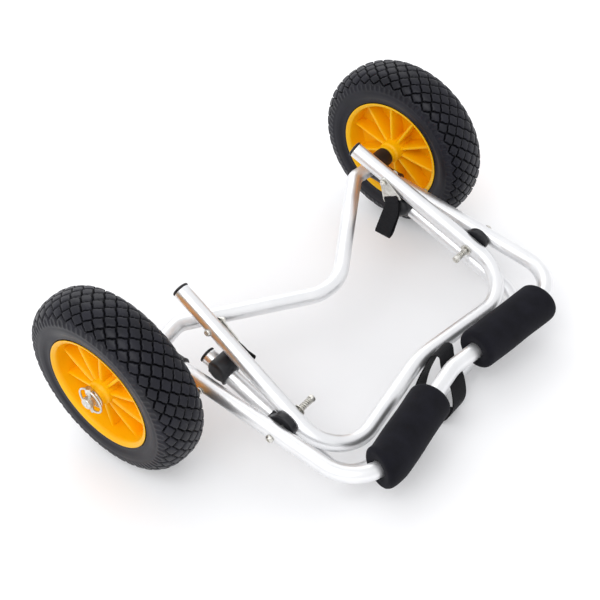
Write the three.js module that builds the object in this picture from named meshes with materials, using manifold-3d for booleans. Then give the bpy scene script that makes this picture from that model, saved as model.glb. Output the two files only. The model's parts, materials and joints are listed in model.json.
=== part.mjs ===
// A folding two-wheeled cart for moving a kayak, shown folded flat.
// Millimetres. x runs forward from the wheel axle to the padded cradle, y along the axle
// from the left wheel to the right one, and z upwards. Everything is laid out about the
// middle of the axle, then the whole cart is tipped nose-down until it rests on both
// wheels and on the cross part of its stand.

import * as THREE from "three";
import { mergeVertices } from "three/addons/utils/BufferGeometryUtils.js";
import Module from "manifold-3d";

const wasm = await Module();
wasm.setup();

const half = 0.5;

// Bar stock and fits
const tubeDiameter = 22;
const tubeWall = 2;
const fitGap = 0.3;
const drillGap = 0.25;

// The cradle's legs, from which everything along the axle is set out
const cradleSpread = 235.6;

// Connector between axle tube, axle and cradle tube
const sleeveWall = 3.3;
const sleeveDiameter = tubeDiameter + sleeveWall + sleeveWall;
const sleeveInset = 14.6;
const sleeveLength = 41;
const sleeveInnerFace = cradleSpread - sleeveInset;
const sleeveOuterFace = sleeveInnerFace + sleeveLength;
const socketWall = 3;
const socketDiameter = tubeDiameter + socketWall + socketWall;
const socketMouth = 45;
const socketFloor = 17;
const connectorRimRadius = 2;

// Wheels
const tyreDiameter = 262;
const tyreWidth = 74;
const wheelGap = 6.5;
const wheelMiddle = sleeveOuterFace + wheelGap + tyreWidth * half;
const tyreSectionHeight = 33;
const tyreRoundShare = 0.83;
const tyreWallHeight = 47.8;
const rimDiameter = tyreDiameter - tyreWallHeight - tyreWallHeight;
const rimInset = 3.1;
const rimWidth = tyreWidth - rimInset - rimInset;
const rimLipHeight = 5.2;
const rimLipWidth = 6.9;
const tyreSeatDiameter = rimDiameter - rimLipHeight - rimLipHeight;
const tyreSeatWidth = rimWidth - rimLipWidth - rimLipWidth;
const barrelThickness = 3.4;
const webThickness = 4.2;
const webDish = 5;
const ribCount = 10;
const ribThickness = 4;
const ribHubHeight = 25;
const ribBarrelHeight = 19;
const hubDiameter = 34;
const hubProud = 6.1;
const hubWidth = rimWidth + hubProud + hubProud;
const hubOffset = 2.5;
const boreGap = 0.35;
const leftRibPhase = 18;
const rightRibPhase = 28;

// Axle
const axleDiameter = 16;
const axleTip = 9;
const axleInsertLength = 18;
const axleChamfer = 1.5;
const hubWasherDiameter = 30;
const hubWasherThickness = 2;
const linchGap = 7;
const linchStation = wheelMiddle + hubWidth * half - hubOffset + linchGap;
const axleEnd = linchStation + axleTip;
const linchPinDiameter = 5;
const linchRingDiameter = 37;
const linchWireDiameter = 3;
const linchHeadDiameter = 9;
const linchHeadHeight = 7;
const linchTail = 4;

// Outer tube with the padded cradle
const cradleDrop = 8.3;
const cradleSlope = -0.0638;
const cradleToe = -0.0207;
const cradleReach = 336;
const cradleCornerRadius = 56;
const cradleApexSetback = 33;
const cradleApexReach = cradleReach - cradleApexSetback;
const cradleApexDrop = 31;
const cradleApexRadius = 60;
const lockBoltStation = 85;

// Bowed tube that carries the axle ends
const axleTubeDepth = 22;
const axleTubeEnd = sleeveInnerFace + axleTubeDepth;
const axleTubeShoulderRun = 32;
const axleTubeShoulder = sleeveInnerFace - axleTubeShoulderRun;
const axleTubeShoulderSetback = 3;
const axleTubeShoulderRise = 3;
const axleTubeShoulderRadius = 27;
const axleTubeBow = 114.3;
const axleTubeBowDrop = 9.7;
const axleTubeBowRadius = 68.7;

// Folding hinge
const hingeSetback = 137.5;
const hingeStation = cradleReach - hingeSetback;
const hingeBoltDiameter = 6;
const hingeHeadDiameter = 11;
const hingeHeadThickness = 4.4;
const headCrownShare = 0.6;
const hingeNutThickness = 5;
const hingeNutWidth = 10;
const hingeWasherDiameter = 16;
const hingeWasherThickness = 1.4;
const springWireDiameter = 1.3;
const springDiameter = 9.6;
const springTurns = 7;
const springStepsPerTurn = 8;
const springSides = 5;

// Inner frame
const frameInset = 36.8;
const frameHingeSpread = cradleSpread - frameInset;
const hingeStackReach = 39.3;
const hingeBoltEnd = frameHingeSpread - hingeStackReach;
const frameSlope = -0.425;
const frameToe = 0.0838;
const frameEndStation = 2;
const frameCornerSetback = 55.6;
const frameCornerStation = cradleReach - frameCornerSetback;
const frameCornerRadius = 60;
const frameApexSetback = 29;
const frameApexReach = frameCornerStation - frameApexSetback;
const frameApexRise = 6.5;
const frameApexRadius = 170;
const capThickness = 3.5;
const capOverhang = 0.6;
const capPlugLength = 9;

// Stand: one tube under the inner frame, its lugs and its sliding tees
const standInset = 33.6;
const standSpread = cradleSpread - standInset;
const standGap = 5;
const standHingeDrop = tubeDiameter + standGap;
const standSlope = -0.33;
const standEndStation = 61;
const standLead = 12.6;
const standReach = frameCornerStation + standLead;
const standCornerRadius = 42;
const lugRadius = 17;
const lugThickness = 9.6;
const lugTailShare = 0.66;
const lugSleeveWall = 2.5;
const lugSleeveDiameter = tubeDiameter + lugSleeveWall + lugSleeveWall;
const lugSleeveBack = 32;
const lugSleeveFront = 4;
const teePostWall = 4.5;
const teeDiameter = tubeDiameter + teePostWall + teePostWall;
const teeClearance = 0.251;
const teeOverhang = 15;
const teeOuterFace = standSpread + teeOverhang;
const teeRise = 6;
const teeEdgeRadius = 6;
const roundShare = 0.29;
const teeSleeveWall = 3.2;
const teeSleeveDiameter = tubeDiameter + teeSleeveWall + teeSleeveWall;
const teeSleeveLength = 27;
const leftTeeStation = 87;
const rightTeeStation = 82;

// Foam pads on the cradle, measured along its tube from the middle of the cross part
const padThickness = 18;
const padDiameter = tubeDiameter + padThickness + padThickness;
const padLength = 134;
const leftPadStart = 60;
const rightPadStart = 43;
const padEndRadius = 8;

// Tie-down plates and webbing
const tieStation = 60.5;
const tieBoltDiameter = 5;
const tieHeadDiameter = 10;
const tieHeadThickness = 3.6;
const tieNutWidth = 8;
const tieNutThickness = 4;
const tieBoltTail = 2;
const tiePlateThickness = 1.8;
const tiePlateTopRadius = 7;
const tiePlateLength = 30;
const tiePlateBase = 32;
const tieSlotLength = 26.5;
const tieSlotHeight = 4.4;
const tieSlotInset = 4;
const tiePlateSwing = 33;
const webbingWidth = 25;
const webbingThickness = 1.6;
const webbingDrop = 50;
const webbingBelly = 5.5;
const webbingBend = 22;
const webbingLeanStart = 6;
const webbingLean = 28;

// Centre strap: a loop round the stand's cross part that passes under the cradle's bare middle
const strapWidth = 30;
const strapThickness = 1.8;
const strapLength = 36;
const strapHeight = 49;
const strapTopSide = 18;
const strapSideLean = 0.83;
const strapAheadShares = [0, 0.45, 0.86, 0.95, 0.58, 0.25, -0.1, -0.37, -0.63, -0.7, -0.69, -0.4];
const strapUpShares = [-0.25, -0.205, -0.09, 0.2, 0.54, 0.69, 0.82, 1, 0.94, 0.64, 0.2, -0.26];

// Facets
const tubeSides = 12;
const bendStepAngle = 15;
const leastBendSteps = 2;
const wheelSides = 36;
const crownSteps = 8;
const turnedSides = 18;
const smallSides = 14;
const tinySides = 10;
const hexSides = 6;
const padEndSteps = 3;
const loopArcSteps = 10;
const loopSideSteps = 10;
const strapSteps = 44;
const coordinates = 3;

const halfTurn = Math.PI;
const fullTurn = halfTurn + halfTurn;
const quarterTurn = halfTurn * half;
const degree = halfTurn / 180;
const tubeRadius = tubeDiameter * half;
const tubeBore = tubeRadius - tubeWall;
const webbingTop = (tiePlateThickness + webbingThickness) * half + fitGap;
const leftAndRight = [["left", -1], ["right", 1]];
const vec = (x, y, z) => new THREE.Vector3(x, y, z);

const materials = {
  aluminium: { color: 0xd9dadc, roughness: 0.34, metalness: 0.9 },
  zinc: { color: 0xb4b2ab, roughness: 0.3, metalness: 1 },
  rubber: { color: 0x26242b, roughness: 0.75, metalness: 0 },
  yellow: { color: 0xffa400, roughness: 0.42, metalness: 0 },
  plastic: { color: 0x1c1e22, roughness: 0.5, metalness: 0 },
  foam: { color: 0x17181d, roughness: 0.92, metalness: 0 },
  webbing: { color: 0x15161a, roughness: 0.85, metalness: 0 },
};

// A tube's centreline: straight runs joined by round bends. Its stations are close
// together only where it bends, so a straight run costs one ring of facets.
class BentLine extends THREE.Curve {
  constructor(corners, radii) {
    super();
    this.stations = [{ point: corners[0], tangent: direction(corners[0], corners[1]) }];
    for (let index = 1; index < corners.length - 1; index++) {
      this.stations.push(...roundBend(corners[index - 1], corners[index], corners[index + 1], radii[index - 1]));
    }
    const last = corners.length - 1;
    this.stations.push({ point: corners[last], tangent: direction(corners[last - 1], corners[last]) });
  }

  get steps() {
    return this.stations.length - 1;
  }

  between(share) {
    const place = share * this.steps;
    const index = Math.min(Math.floor(place), this.steps - 1);
    return [this.stations[index], this.stations[index + 1], place - index];
  }

  getPoint(share, target = vec(0, 0, 0)) {
    const [from, to, part] = this.between(share);
    return target.lerpVectors(from.point, to.point, part);
  }

  getTangent(share, target = vec(0, 0, 0)) {
    const [from, to, part] = this.between(share);
    return target.lerpVectors(from.tangent, to.tangent, part).normalize();
  }

  // The point and the tangent at a distance along the line
  at(distance) {
    let index = 1;
    let passed = 0;
    let run = this.stations[0].point.distanceTo(this.stations[1].point);
    while (passed + run < distance) {
      passed += run;
      run = this.stations[index].point.distanceTo(this.stations[index + 1].point);
      index += 1;
    }
    const share = (index - 1 + (distance - passed) / run) / this.steps;
    return { point: this.getPoint(share), tangent: this.getTangent(share) };
  }

  // How far along the line each station lies
  get distances() {
    let passed = 0;
    return this.stations.map(({ point }, index) => {
      passed += index > 0 ? point.distanceTo(this.stations[index - 1].point) : 0;
      return passed;
    });
  }

  getPointAt(share, target) {
    return this.getPoint(share, target);
  }

  getTangentAt(share, target) {
    return this.getTangent(share, target);
  }
}

function direction(from, to) {
  return to.clone().sub(from).normalize();
}

function roundBend(before, corner, after, radius) {
  const inward = direction(before, corner);
  const onward = direction(corner, after);
  const turn = inward.angleTo(onward);
  const axis = inward.clone().cross(onward).normalize();
  const start = corner.clone().addScaledVector(inward, -radius * Math.tan(turn * half));
  const centre = start.clone().addScaledVector(axis.clone().cross(inward), radius);
  const steps = Math.max(leastBendSteps, Math.ceil(turn / (bendStepAngle * degree)));
  return Array.from({ length: steps + 1 }, (_, step) => {
    const angle = (turn * step) / steps;
    const point = start.clone().sub(centre).applyAxisAngle(axis, angle).add(centre);
    return { point, tangent: inward.clone().applyAxisAngle(axis, angle) };
  });
}

function ringShape(outerRadius, innerRadius) {
  const shape = new THREE.Shape();
  shape.absarc(0, 0, outerRadius, 0, fullTurn);
  if (innerRadius > 0) {
    shape.holes.push(new THREE.Path().absarc(0, 0, innerRadius, 0, fullTurn, true));
  }
  return shape;
}

function pipe(line, outerRadius, innerRadius, sides = tubeSides) {
  return new THREE.ExtrudeGeometry(ringShape(outerRadius, innerRadius), {
    steps: line.steps,
    curveSegments: sides * half,
    extrudePath: line,
  });
}

// A round bar between two points, as a solid to join or to cut with
function rod(from, to, radius, sides = turnedSides) {
  const bar = new THREE.CylinderGeometry(radius, radius, from.distanceTo(to), sides);
  const turn = new THREE.Quaternion().setFromUnitVectors(vec(0, 1, 0), direction(from, to));
  bar.applyQuaternion(turn);
  const middle = from.clone().add(to).multiplyScalar(half);
  bar.translate(middle.x, middle.y, middle.z);
  return solid(bar);
}

// A turned piece about the y axis from [radius, y] pairs that close on themselves
function turned(profile, sides = turnedSides) {
  const points = [...profile, profile[0]].map(([radius, y]) => new THREE.Vector2(radius, y));
  return new THREE.LatheGeometry(points, sides);
}

function solid(geometry) {
  const bare = geometry.clone();
  bare.deleteAttribute("normal");
  bare.deleteAttribute("uv");
  const welded = mergeVertices(bare);
  return new wasm.Manifold(new wasm.Mesh({
    numProp: 3,
    vertProperties: new Float32Array(welded.attributes.position.array),
    triVerts: new Uint32Array(welded.index.array),
  }));
}

function surface(body) {
  const mesh = body.getMesh();
  const geometry = new THREE.BufferGeometry();
  geometry.setAttribute("position", new THREE.BufferAttribute(mesh.vertProperties, coordinates));
  geometry.setIndex(new THREE.BufferAttribute(mesh.triVerts, 1));
  geometry.computeVertexNormals();
  return geometry;
}

function union(bodies) {
  return bodies.reduce((whole, body) => whole.add(body));
}

function cutAway(body, tools) {
  return tools.reduce((rest, tool) => rest.subtract(tool), body);
}

function piece(name, geometry, materialName) {
  const mesh = new THREE.Mesh(geometry, new THREE.MeshStandardMaterial(materials[materialName]));
  mesh.name = name;
  return mesh;
}

// Where the straight legs run, as points for one side of the cart
function cradleLeg(side, x) {
  return vec(x, side * (cradleSpread + cradleToe * x), -cradleDrop + cradleSlope * x);
}

const hingeHeight = cradleLeg(1, hingeStation).z;

function frameLeg(side, x) {
  const ahead = x - hingeStation;
  return vec(x, side * (frameHingeSpread + frameToe * ahead), hingeHeight + frameSlope * ahead);
}

function standLeg(side, x) {
  const ahead = x - hingeStation;
  return vec(x, side * standSpread, hingeHeight - standHingeDrop + standSlope * ahead);
}

function crossDrill(x, y, z, diameter) {
  const reach = tubeDiameter;
  return rod(vec(x, y - reach, z), vec(x, y + reach, z), diameter * half + drillGap, tinySides);
}

function cradleLine() {
  const apex = vec(cradleApexReach, 0, -cradleApexDrop);
  const corners = [
    cradleLeg(-1, socketFloor + fitGap),
    cradleLeg(-1, cradleReach),
    apex,
    cradleLeg(1, cradleReach),
    cradleLeg(1, socketFloor + fitGap),
  ];
  return new BentLine(corners, [cradleCornerRadius, cradleApexRadius, cradleCornerRadius]);
}

function cradleTube() {
  const drills = leftAndRight.flatMap(([, side]) => {
    const lock = cradleLeg(side, lockBoltStation);
    const hinge = cradleLeg(side, hingeStation);
    return [
      crossDrill(lock.x, lock.y, lock.z, tieBoltDiameter),
      crossDrill(hinge.x, hinge.y, hinge.z, hingeBoltDiameter),
    ];
  });
  return surface(cutAway(solid(pipe(cradleLine(), tubeRadius, tubeBore)), drills));
}

function axleTube() {
  const shoulder = (side) => vec(-axleTubeShoulderSetback, side * axleTubeShoulder, axleTubeShoulderRise);
  const corners = [
    vec(0, -axleTubeEnd, 0),
    vec(0, -sleeveInnerFace, 0),
    shoulder(-1),
    vec(axleTubeBow, 0, -axleTubeBowDrop),
    shoulder(1),
    vec(0, sleeveInnerFace, 0),
    vec(0, axleTubeEnd, 0),
  ];
  const easing = axleTubeShoulderRadius;
  const radii = [easing, axleTubeShoulderRadius, axleTubeBowRadius, axleTubeShoulderRadius, easing];
  return pipe(new BentLine(corners, radii), tubeRadius, tubeBore);
}

function frameLine() {
  const corner = (side) => frameLeg(side, frameCornerStation);
  const apex = vec(frameApexReach, 0, corner(1).z + frameApexRise);
  const corners = [frameLeg(-1, frameEndStation), corner(-1), apex, corner(1), frameLeg(1, frameEndStation)];
  return new BentLine(corners, [frameCornerRadius, frameApexRadius, frameCornerRadius]);
}

function frameTube() {
  const drills = leftAndRight.flatMap(([, side]) => {
    const tie = frameLeg(side, tieStation);
    const hinge = frameLeg(side, hingeStation);
    return [
      crossDrill(tie.x, tie.y, tie.z, tieBoltDiameter),
      crossDrill(hinge.x, hinge.y, hinge.z, hingeBoltDiameter),
    ];
  });
  return surface(cutAway(solid(pipe(frameLine(), tubeRadius, tubeBore)), drills));
}

function standTube() {
  const corners = [
    standLeg(-1, standEndStation),
    standLeg(-1, standReach),
    standLeg(1, standReach),
    standLeg(1, standEndStation),
  ];
  return pipe(new BentLine(corners, [standCornerRadius, standCornerRadius]), tubeRadius, tubeBore);
}

// A plug cap: a domed head on the tube's end and a plug inside its bore
function endCap() {
  const head = tubeRadius + capOverhang;
  const plug = tubeBore - fitGap;
  const dome = capThickness * half;
  return turned([
    [0, -capPlugLength],
    [plug, -capPlugLength],
    [plug, fitGap],
    [head, fitGap],
    [head, dome],
    [head - dome, capThickness],
    [0, capThickness + dome * half],
  ], turnedSides);
}

function capOn(name, end, outward) {
  const cap = piece(name, endCap(), "plastic");
  cap.position.copy(end);
  cap.quaternion.setFromUnitVectors(vec(0, 1, 0), outward);
  return cap;
}

// The hinge lug: an eye round the hinge bolt, a web down beside the stand tube and
// a short half sleeve over its outer side, cleared for the frame tube above
function standLug(side) {
  const inner = frameHingeSpread + tubeRadius + fitGap;
  const hinge = vec(hingeStation, 0, hingeHeight);
  const back = standLeg(side, hingeStation - lugSleeveBack);
  const front = standLeg(side, hingeStation + lugSleeveFront);
  const slab = (x, z, radius) => rod(
    vec(x, side * inner, z),
    vec(x, side * (inner + lugThickness), z),
    radius,
  );
  const sleeveRadius = lugSleeveDiameter * half;
  const web = wasm.Manifold.hull([
    slab(hinge.x, hinge.z, lugRadius),
    slab(back.x + sleeveRadius, back.z, sleeveRadius * lugTailShare),
  ]);
  const body = union([web, rod(back, front, sleeveRadius)]).trimByPlane([0, side, 0], standSpread);
  const along = (leg) => rod(
    leg(side, 0),
    leg(side, hingeStation + tubeDiameter + lugRadius),
    tubeRadius + fitGap,
  );
  return surface(cutAway(body, [
    along(standLeg),
    along(frameLeg),
    along(cradleLeg),
    crossDrill(hinge.x, side * (inner + lugThickness * half), hinge.z, hingeBoltDiameter),
  ]));
}

// How far out the face lies that the tie-down plates hang against
function tiePlateFace() {
  return frameLeg(1, tieStation).y - tubeRadius - fitGap - frameToe * tiePlateTopRadius;
}

// The sliding tee: a sleeve round the stand tube and a domed post that lies under the frame
// tube and ends just clear of the webbing
function slidingTee(side, x) {
  const seat = standLeg(side, x);
  const along = direction(standLeg(side, 0), standLeg(side, hingeStation));
  const radius = teeDiameter * half;
  const webbingFace = tiePlateFace() - tiePlateThickness * half + webbingTop + webbingThickness * half;
  const innerFace = webbingFace + teeClearance;
  const post = solid(turned([
    [0, innerFace],
    [radius - teeEdgeRadius, innerFace],
    [radius - teeEdgeRadius * roundShare, innerFace + teeEdgeRadius * roundShare],
    [radius, innerFace + teeEdgeRadius],
    [radius, teeOuterFace - teeEdgeRadius * half],
    [radius - teeEdgeRadius * half, teeOuterFace],
    [0, teeOuterFace],
  ]));
  const placed = post.rotate([side > 0 ? 0 : halfTurn / degree, 0, 0]).translate([seat.x, 0, seat.z + teeRise]);
  const reach = teeSleeveLength * half;
  const sleeve = rod(
    seat.clone().addScaledVector(along, -reach),
    seat.clone().addScaledVector(along, reach),
    teeSleeveDiameter * half,
  );
  const bore = rod(standLeg(side, 0), standLeg(side, hingeStation), tubeRadius + fitGap);
  return surface(cutAway(union([placed, sleeve]), [bore]));
}

// The connector at each wheel: a sleeve on the axle line and a socket for the cradle tube
function connector(side) {
  const edge = connectorRimRadius;
  const radius = sleeveDiameter * half;
  const sleeve = solid(turned([
    [0, sleeveInnerFace],
    [radius - edge, sleeveInnerFace],
    [radius, sleeveInnerFace + edge],
    [radius, sleeveOuterFace - edge],
    [radius - edge, sleeveOuterFace],
    [0, sleeveOuterFace],
  ])).rotate([side > 0 ? 0 : halfTurn / degree, 0, 0]);
  const socket = rod(cradleLeg(side, 0), cradleLeg(side, socketMouth), socketDiameter * half);
  const inward = side * (sleeveInnerFace - edge);
  return surface(cutAway(union([sleeve, socket]), [
    rod(vec(0, inward, 0), vec(0, side * (axleTubeEnd + fitGap), 0), tubeRadius + fitGap),
    rod(vec(0, inward, 0), vec(0, side * (sleeveOuterFace + edge), 0), axleDiameter * half + fitGap),
    rod(cradleLeg(side, socketFloor), cradleLeg(side, socketMouth + edge), tubeRadius + fitGap),
  ]));
}

function axleStub(side) {
  const insert = tubeBore - fitGap;
  const radius = axleDiameter * half;
  const end = axleEnd;
  const start = axleTubeEnd - axleInsertLength;
  const bar = solid(turned([
    [0, start],
    [insert, start],
    [insert, axleTubeEnd],
    [radius, axleTubeEnd],
    [radius, end - axleChamfer],
    [radius - axleChamfer, end],
    [0, end],
  ])).rotate([side > 0 ? 0 : halfTurn / degree, 0, 0]);
  const across = axleDiameter;
  const hole = rod(
    vec(0, side * linchStation, -across),
    vec(0, side * linchStation, across),
    linchPinDiameter * half + drillGap,
    tinySides,
  );
  return surface(bar.subtract(hole));
}

// The linch pin: a headed pin through the axle and a wire ring sprung over its tail
function linchPin() {
  const ringRadius = linchRingDiameter * half;
  const wire = linchWireDiameter * half;
  const ring = solid(new THREE.TorusGeometry(ringRadius, wire, tinySides * half, turnedSides).rotateX(quarterTurn));
  const pin = rod(vec(0, 0, -ringRadius - linchTail), vec(0, 0, ringRadius), linchPinDiameter * half, tinySides);
  const head = rod(vec(0, 0, ringRadius - wire), vec(0, 0, ringRadius + linchHeadHeight - wire), linchHeadDiameter * half);
  return surface(union([ring, pin, head]));
}

function washer(outerDiameter, innerDiameter, thickness) {
  const inner = innerDiameter * half + drillGap;
  return turned([
    [inner, 0],
    [outerDiameter * half, 0],
    [outerDiameter * half, thickness],
    [inner, thickness],
  ]);
}

// A domed bolt head with its shank, pointing along -y from under the head
function bolt(shankDiameter, length, headDiameter, headThickness) {
  const head = headDiameter * half;
  const shank = shankDiameter * half;
  return turned([
    [0, -length],
    [shank, -length],
    [shank, 0],
    [head, 0],
    [head, headThickness * half],
    [head * headCrownShare, headThickness],
    [0, headThickness],
  ], smallSides);
}

function hexNut(width, boreDiameter, thickness) {
  const corner = (width * half) / Math.cos(halfTurn / hexSides);
  const outer = new THREE.CylinderGeometry(corner, corner, thickness, hexSides);
  const bore = boreDiameter * half + drillGap;
  const hole = new THREE.CylinderGeometry(bore, bore, thickness + fitGap, tinySides);
  return surface(solid(outer).subtract(solid(hole)));
}

// A compression spring: one unbroken helix of round wire about the y axis
class Helix extends THREE.Curve {
  constructor(radius, length, turns) {
    super();
    Object.assign(this, { radius, length, turns });
  }

  getPoint(share, target = vec(0, 0, 0)) {
    const angle = share * this.turns * fullTurn;
    return target.set(this.radius * Math.cos(angle), share * this.length, this.radius * Math.sin(angle));
  }
}

function hingeSpring(length) {
  const wire = springWireDiameter * half;
  const helix = new Helix(springDiameter * half - wire, length - springWireDiameter, springTurns);
  const coil = new THREE.ExtrudeGeometry(ringShape(wire, 0), {
    steps: springTurns * springStepsPerTurn,
    curveSegments: springSides * half,
    extrudePath: helix,
  });
  return coil.translate(0, wire, 0);
}

function tyre() {
  const halfWidth = tyreWidth * half;
  const belly = tyreDiameter * half - tyreSectionHeight;
  const crown = Array.from({ length: crownSteps + 1 }, (_, step) => {
    const angle = (halfTurn * step) / crownSteps;
    const across = -Math.sign(Math.cos(angle)) * Math.abs(Math.cos(angle)) ** tyreRoundShare;
    const height = Math.abs(Math.sin(angle)) ** tyreRoundShare;
    return [belly + tyreSectionHeight * height, halfWidth * across];
  });
  const beadRadius = rimDiameter * half + fitGap;
  const beadWidth = rimWidth * half - fitGap;
  const seatRadius = tyreSeatDiameter * half;
  const seatWidth = tyreSeatWidth * half;
  return turned([
    [seatRadius, -seatWidth],
    [beadRadius, -beadWidth],
    ...crown,
    [beadRadius, beadWidth],
    [seatRadius, seatWidth],
  ], wheelSides);
}

// The rim: a moulded barrel, a dished web, a hub and radial ribs on both faces
function rim() {
  const lip = rimDiameter * half;
  const lipWidth = rimWidth * half;
  const seat = tyreSeatDiameter * half - fitGap;
  const seatWidth = tyreSeatWidth * half + fitGap;
  const inside = seat - barrelThickness;
  const web = webThickness * half;
  const hub = hubDiameter * half;
  const bore = axleDiameter * half + boreGap;
  const hubBack = -hubWidth * half - hubOffset;
  const hubFace = hubWidth * half - hubOffset;
  const body = solid(turned([
    [bore, hubBack],
    [hub, hubBack],
    [hub, webDish - web],
    [inside, -web],
    [inside + web * half, -seatWidth],
    [lip - barrelThickness, -lipWidth],
    [lip, -lipWidth],
    [seat, -seatWidth],
    [seat, seatWidth],
    [lip, lipWidth],
    [lip - barrelThickness, lipWidth],
    [inside + web * half, seatWidth],
    [inside, web],
    [hub, webDish + web],
    [hub, hubFace],
    [bore, hubFace],
  ], wheelSides));
  const outline = new THREE.Shape([
    new THREE.Vector2(hub - web, -ribHubHeight),
    new THREE.Vector2(inside + web * half, -ribBarrelHeight),
    new THREE.Vector2(inside + web * half, ribBarrelHeight),
    new THREE.Vector2(hub - web, ribHubHeight),
  ]);
  const rib = solid(new THREE.ExtrudeGeometry(outline, { depth: ribThickness, bevelEnabled: false })
    .translate(0, 0, -ribThickness * half));
  const ribs = Array.from({ length: ribCount }, (_, index) => rib.rotate([0, (index * fullTurn) / (ribCount * degree), 0]));
  return surface(union([body, ...ribs]));
}

// A foam sleeve threaded on the cradle tube, which follows the tube into its corner bend
function foamPad(side, start) {
  const line = cradleLine();
  const stations = line.distances;
  const middle = stations.at(-1) * half;
  const outer = padDiameter * half;
  const inner = tubeRadius + fitGap;
  const edge = padEndRadius;
  const bends = stations
    .map((distance) => side * (distance - middle))
    .filter((distance) => distance > start + edge && distance < start + padLength - edge)
    .sort((one, other) => one - other);
  const rounded = (distance, sign) => Array.from({ length: padEndSteps + 1 }, (_, step) => {
    const angle = (quarterTurn * step) / padEndSteps;
    return [outer - edge + edge * Math.sin(angle), distance + sign * edge * (1 - Math.cos(angle))];
  });
  const profile = [
    [inner, start],
    ...rounded(start, 1),
    ...bends.map((distance) => [outer, distance]),
    ...rounded(start + padLength, -1).reverse(),
    [inner, start + padLength],
    ...bends.map((distance) => [inner, distance]).reverse(),
  ];
  return band(profile.map(([radius, distance]) => {
    const { point, tangent } = line.at(middle + side * distance);
    const across = vec(0, 0, 1).cross(tangent).normalize();
    const upward = tangent.cross(across);
    return Array.from({ length: turnedSides }, (_, index) => {
      const angle = (-side * fullTurn * index) / turnedSides;
      return point.clone()
        .addScaledVector(across, radius * Math.cos(angle))
        .addScaledVector(upward, radius * Math.sin(angle));
    });
  }));
}

// A flat plate with a round eye at the top and a slot along its wide foot
function tiePlate() {
  const base = tiePlateBase * half;
  const outline = new THREE.Shape();
  outline.absarc(0, 0, tiePlateTopRadius, 0, halfTurn);
  outline.lineTo(-base, -tiePlateLength + tieSlotHeight);
  outline.lineTo(-base, -tiePlateLength);
  outline.lineTo(base, -tiePlateLength);
  outline.lineTo(base, -tiePlateLength + tieSlotHeight);
  outline.closePath();
  const eye = tieBoltDiameter * half + drillGap;
  outline.holes.push(new THREE.Path().absarc(0, 0, eye, 0, fullTurn, true));
  const slot = tieSlotLength * half;
  const slotFloor = -tiePlateLength + tieSlotInset;
  outline.holes.push(new THREE.Path([
    new THREE.Vector2(-slot, slotFloor),
    new THREE.Vector2(slot, slotFloor),
    new THREE.Vector2(slot, slotFloor + tieSlotHeight),
    new THREE.Vector2(-slot, slotFloor + tieSlotHeight),
  ]));
  const plate = new THREE.ExtrudeGeometry(outline, {
    depth: tiePlateThickness,
    bevelEnabled: false,
    curveSegments: tinySides,
  });
  return plate.rotateX(quarterTurn).translate(0, tiePlateThickness, 0);
}

// The outline of a hanging loop: a small arc over what holds it, straight sides and a wide arc below
function loopOutline(topRadius, bottomRadius, spacing) {
  const lean = Math.asin((bottomRadius - topRadius) / spacing);
  const arc = (y, radius, from, to) =>
    new THREE.EllipseCurve(0, y, radius, radius, from, to).getPoints(loopArcSteps);
  const side = (from, to) => Array.from({ length: loopSideSteps - 1 }, (_, index) =>
    from.clone().lerp(to, (index + 1) / loopSideSteps));
  const top = arc(0, topRadius, lean, halfTurn - lean);
  const bottom = arc(-spacing, bottomRadius, halfTurn - lean, fullTurn + lean);
  return [...top, ...side(top.at(-1), bottom[0]), ...bottom, ...side(bottom.at(-1), top[0])];
}

// A closed skin over sections that follow one another round a loop, with equal numbers of corners
function band(sections) {
  const corners = sections.flat();
  const count = sections[0].length;
  const faces = corners.flatMap((_, corner) => {
    const station = Math.floor(corner / count) * count;
    const beside = station + ((corner + 1) % count);
    const next = (corner + count) % corners.length;
    const nextBeside = (beside + count) % corners.length;
    return [corner, nextBeside, beside, corner, next, nextBeside];
  });
  const geometry = new THREE.BufferGeometry().setFromPoints(corners);
  geometry.setIndex(faces);
  geometry.computeVertexNormals();
  return geometry;
}

// The tie-down webbing goes through the plate's slot and round the bar below it. It leaves
// the slot along the plate, bends to hang straight down, and leans in past the sliding tee.
function webbing(side) {
  const swing = tiePlateSwing * degree;
  const bendRadius = webbingBend / swing;
  const place = (across, out, up) => {
    const bent = Math.min(Math.max(-up, 0), webbingBend);
    const angle = swing * (1 - bent / webbingBend);
    const straight = -up - bent;
    return vec(
      bendRadius * (Math.cos(angle) - Math.cos(swing)) + straight * Math.sin(angle) + across * Math.cos(angle),
      out - side * Math.max(-up - webbingLeanStart, 0) * Math.tan(webbingLean * degree),
      -bendRadius * (Math.sin(swing) - Math.sin(angle)) - straight * Math.cos(angle) + across * Math.sin(angle),
    );
  };
  const spacing = webbingDrop - webbingBelly;
  const outline = (offset) => loopOutline(webbingTop + offset, webbingBelly + offset, spacing);
  const outer = outline(webbingThickness * half);
  const inner = outline(-webbingThickness * half);
  const edge = webbingWidth * half;
  return band(outer.map((point, index) => [
    place(-edge, point.x, point.y),
    place(edge, point.x, point.y),
    place(edge, inner[index].x, inner[index].y),
    place(-edge, inner[index].x, inner[index].y),
  ]));
}

// The centre strap, about the middle of the stand's cross part. The higher it is, the
// farther it lies to the right, as a loop does that has slumped to one side.
function centreStrap() {
  const route = strapAheadShares.map((share, index) =>
    vec(share * strapLength, 0, strapUpShares[index] * strapHeight));
  const line = new THREE.CatmullRomCurve3(route, true);
  return band(Array.from({ length: strapSteps }, (_, step) => {
    const middle = line.getPointAt(step / strapSteps);
    const outward = line.getTangentAt(step / strapSteps).cross(vec(0, 1, 0));
    const corner = (edge, face) => {
      const point = middle.clone().addScaledVector(outward, face * strapThickness * half);
      point.y = strapTopSide + (middle.z - strapHeight) * strapSideLean + edge * strapWidth * half;
      return point;
    };
    return [corner(-1, 1), corner(1, 1), corner(1, -1), corner(-1, -1)];
  }));
}

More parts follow.
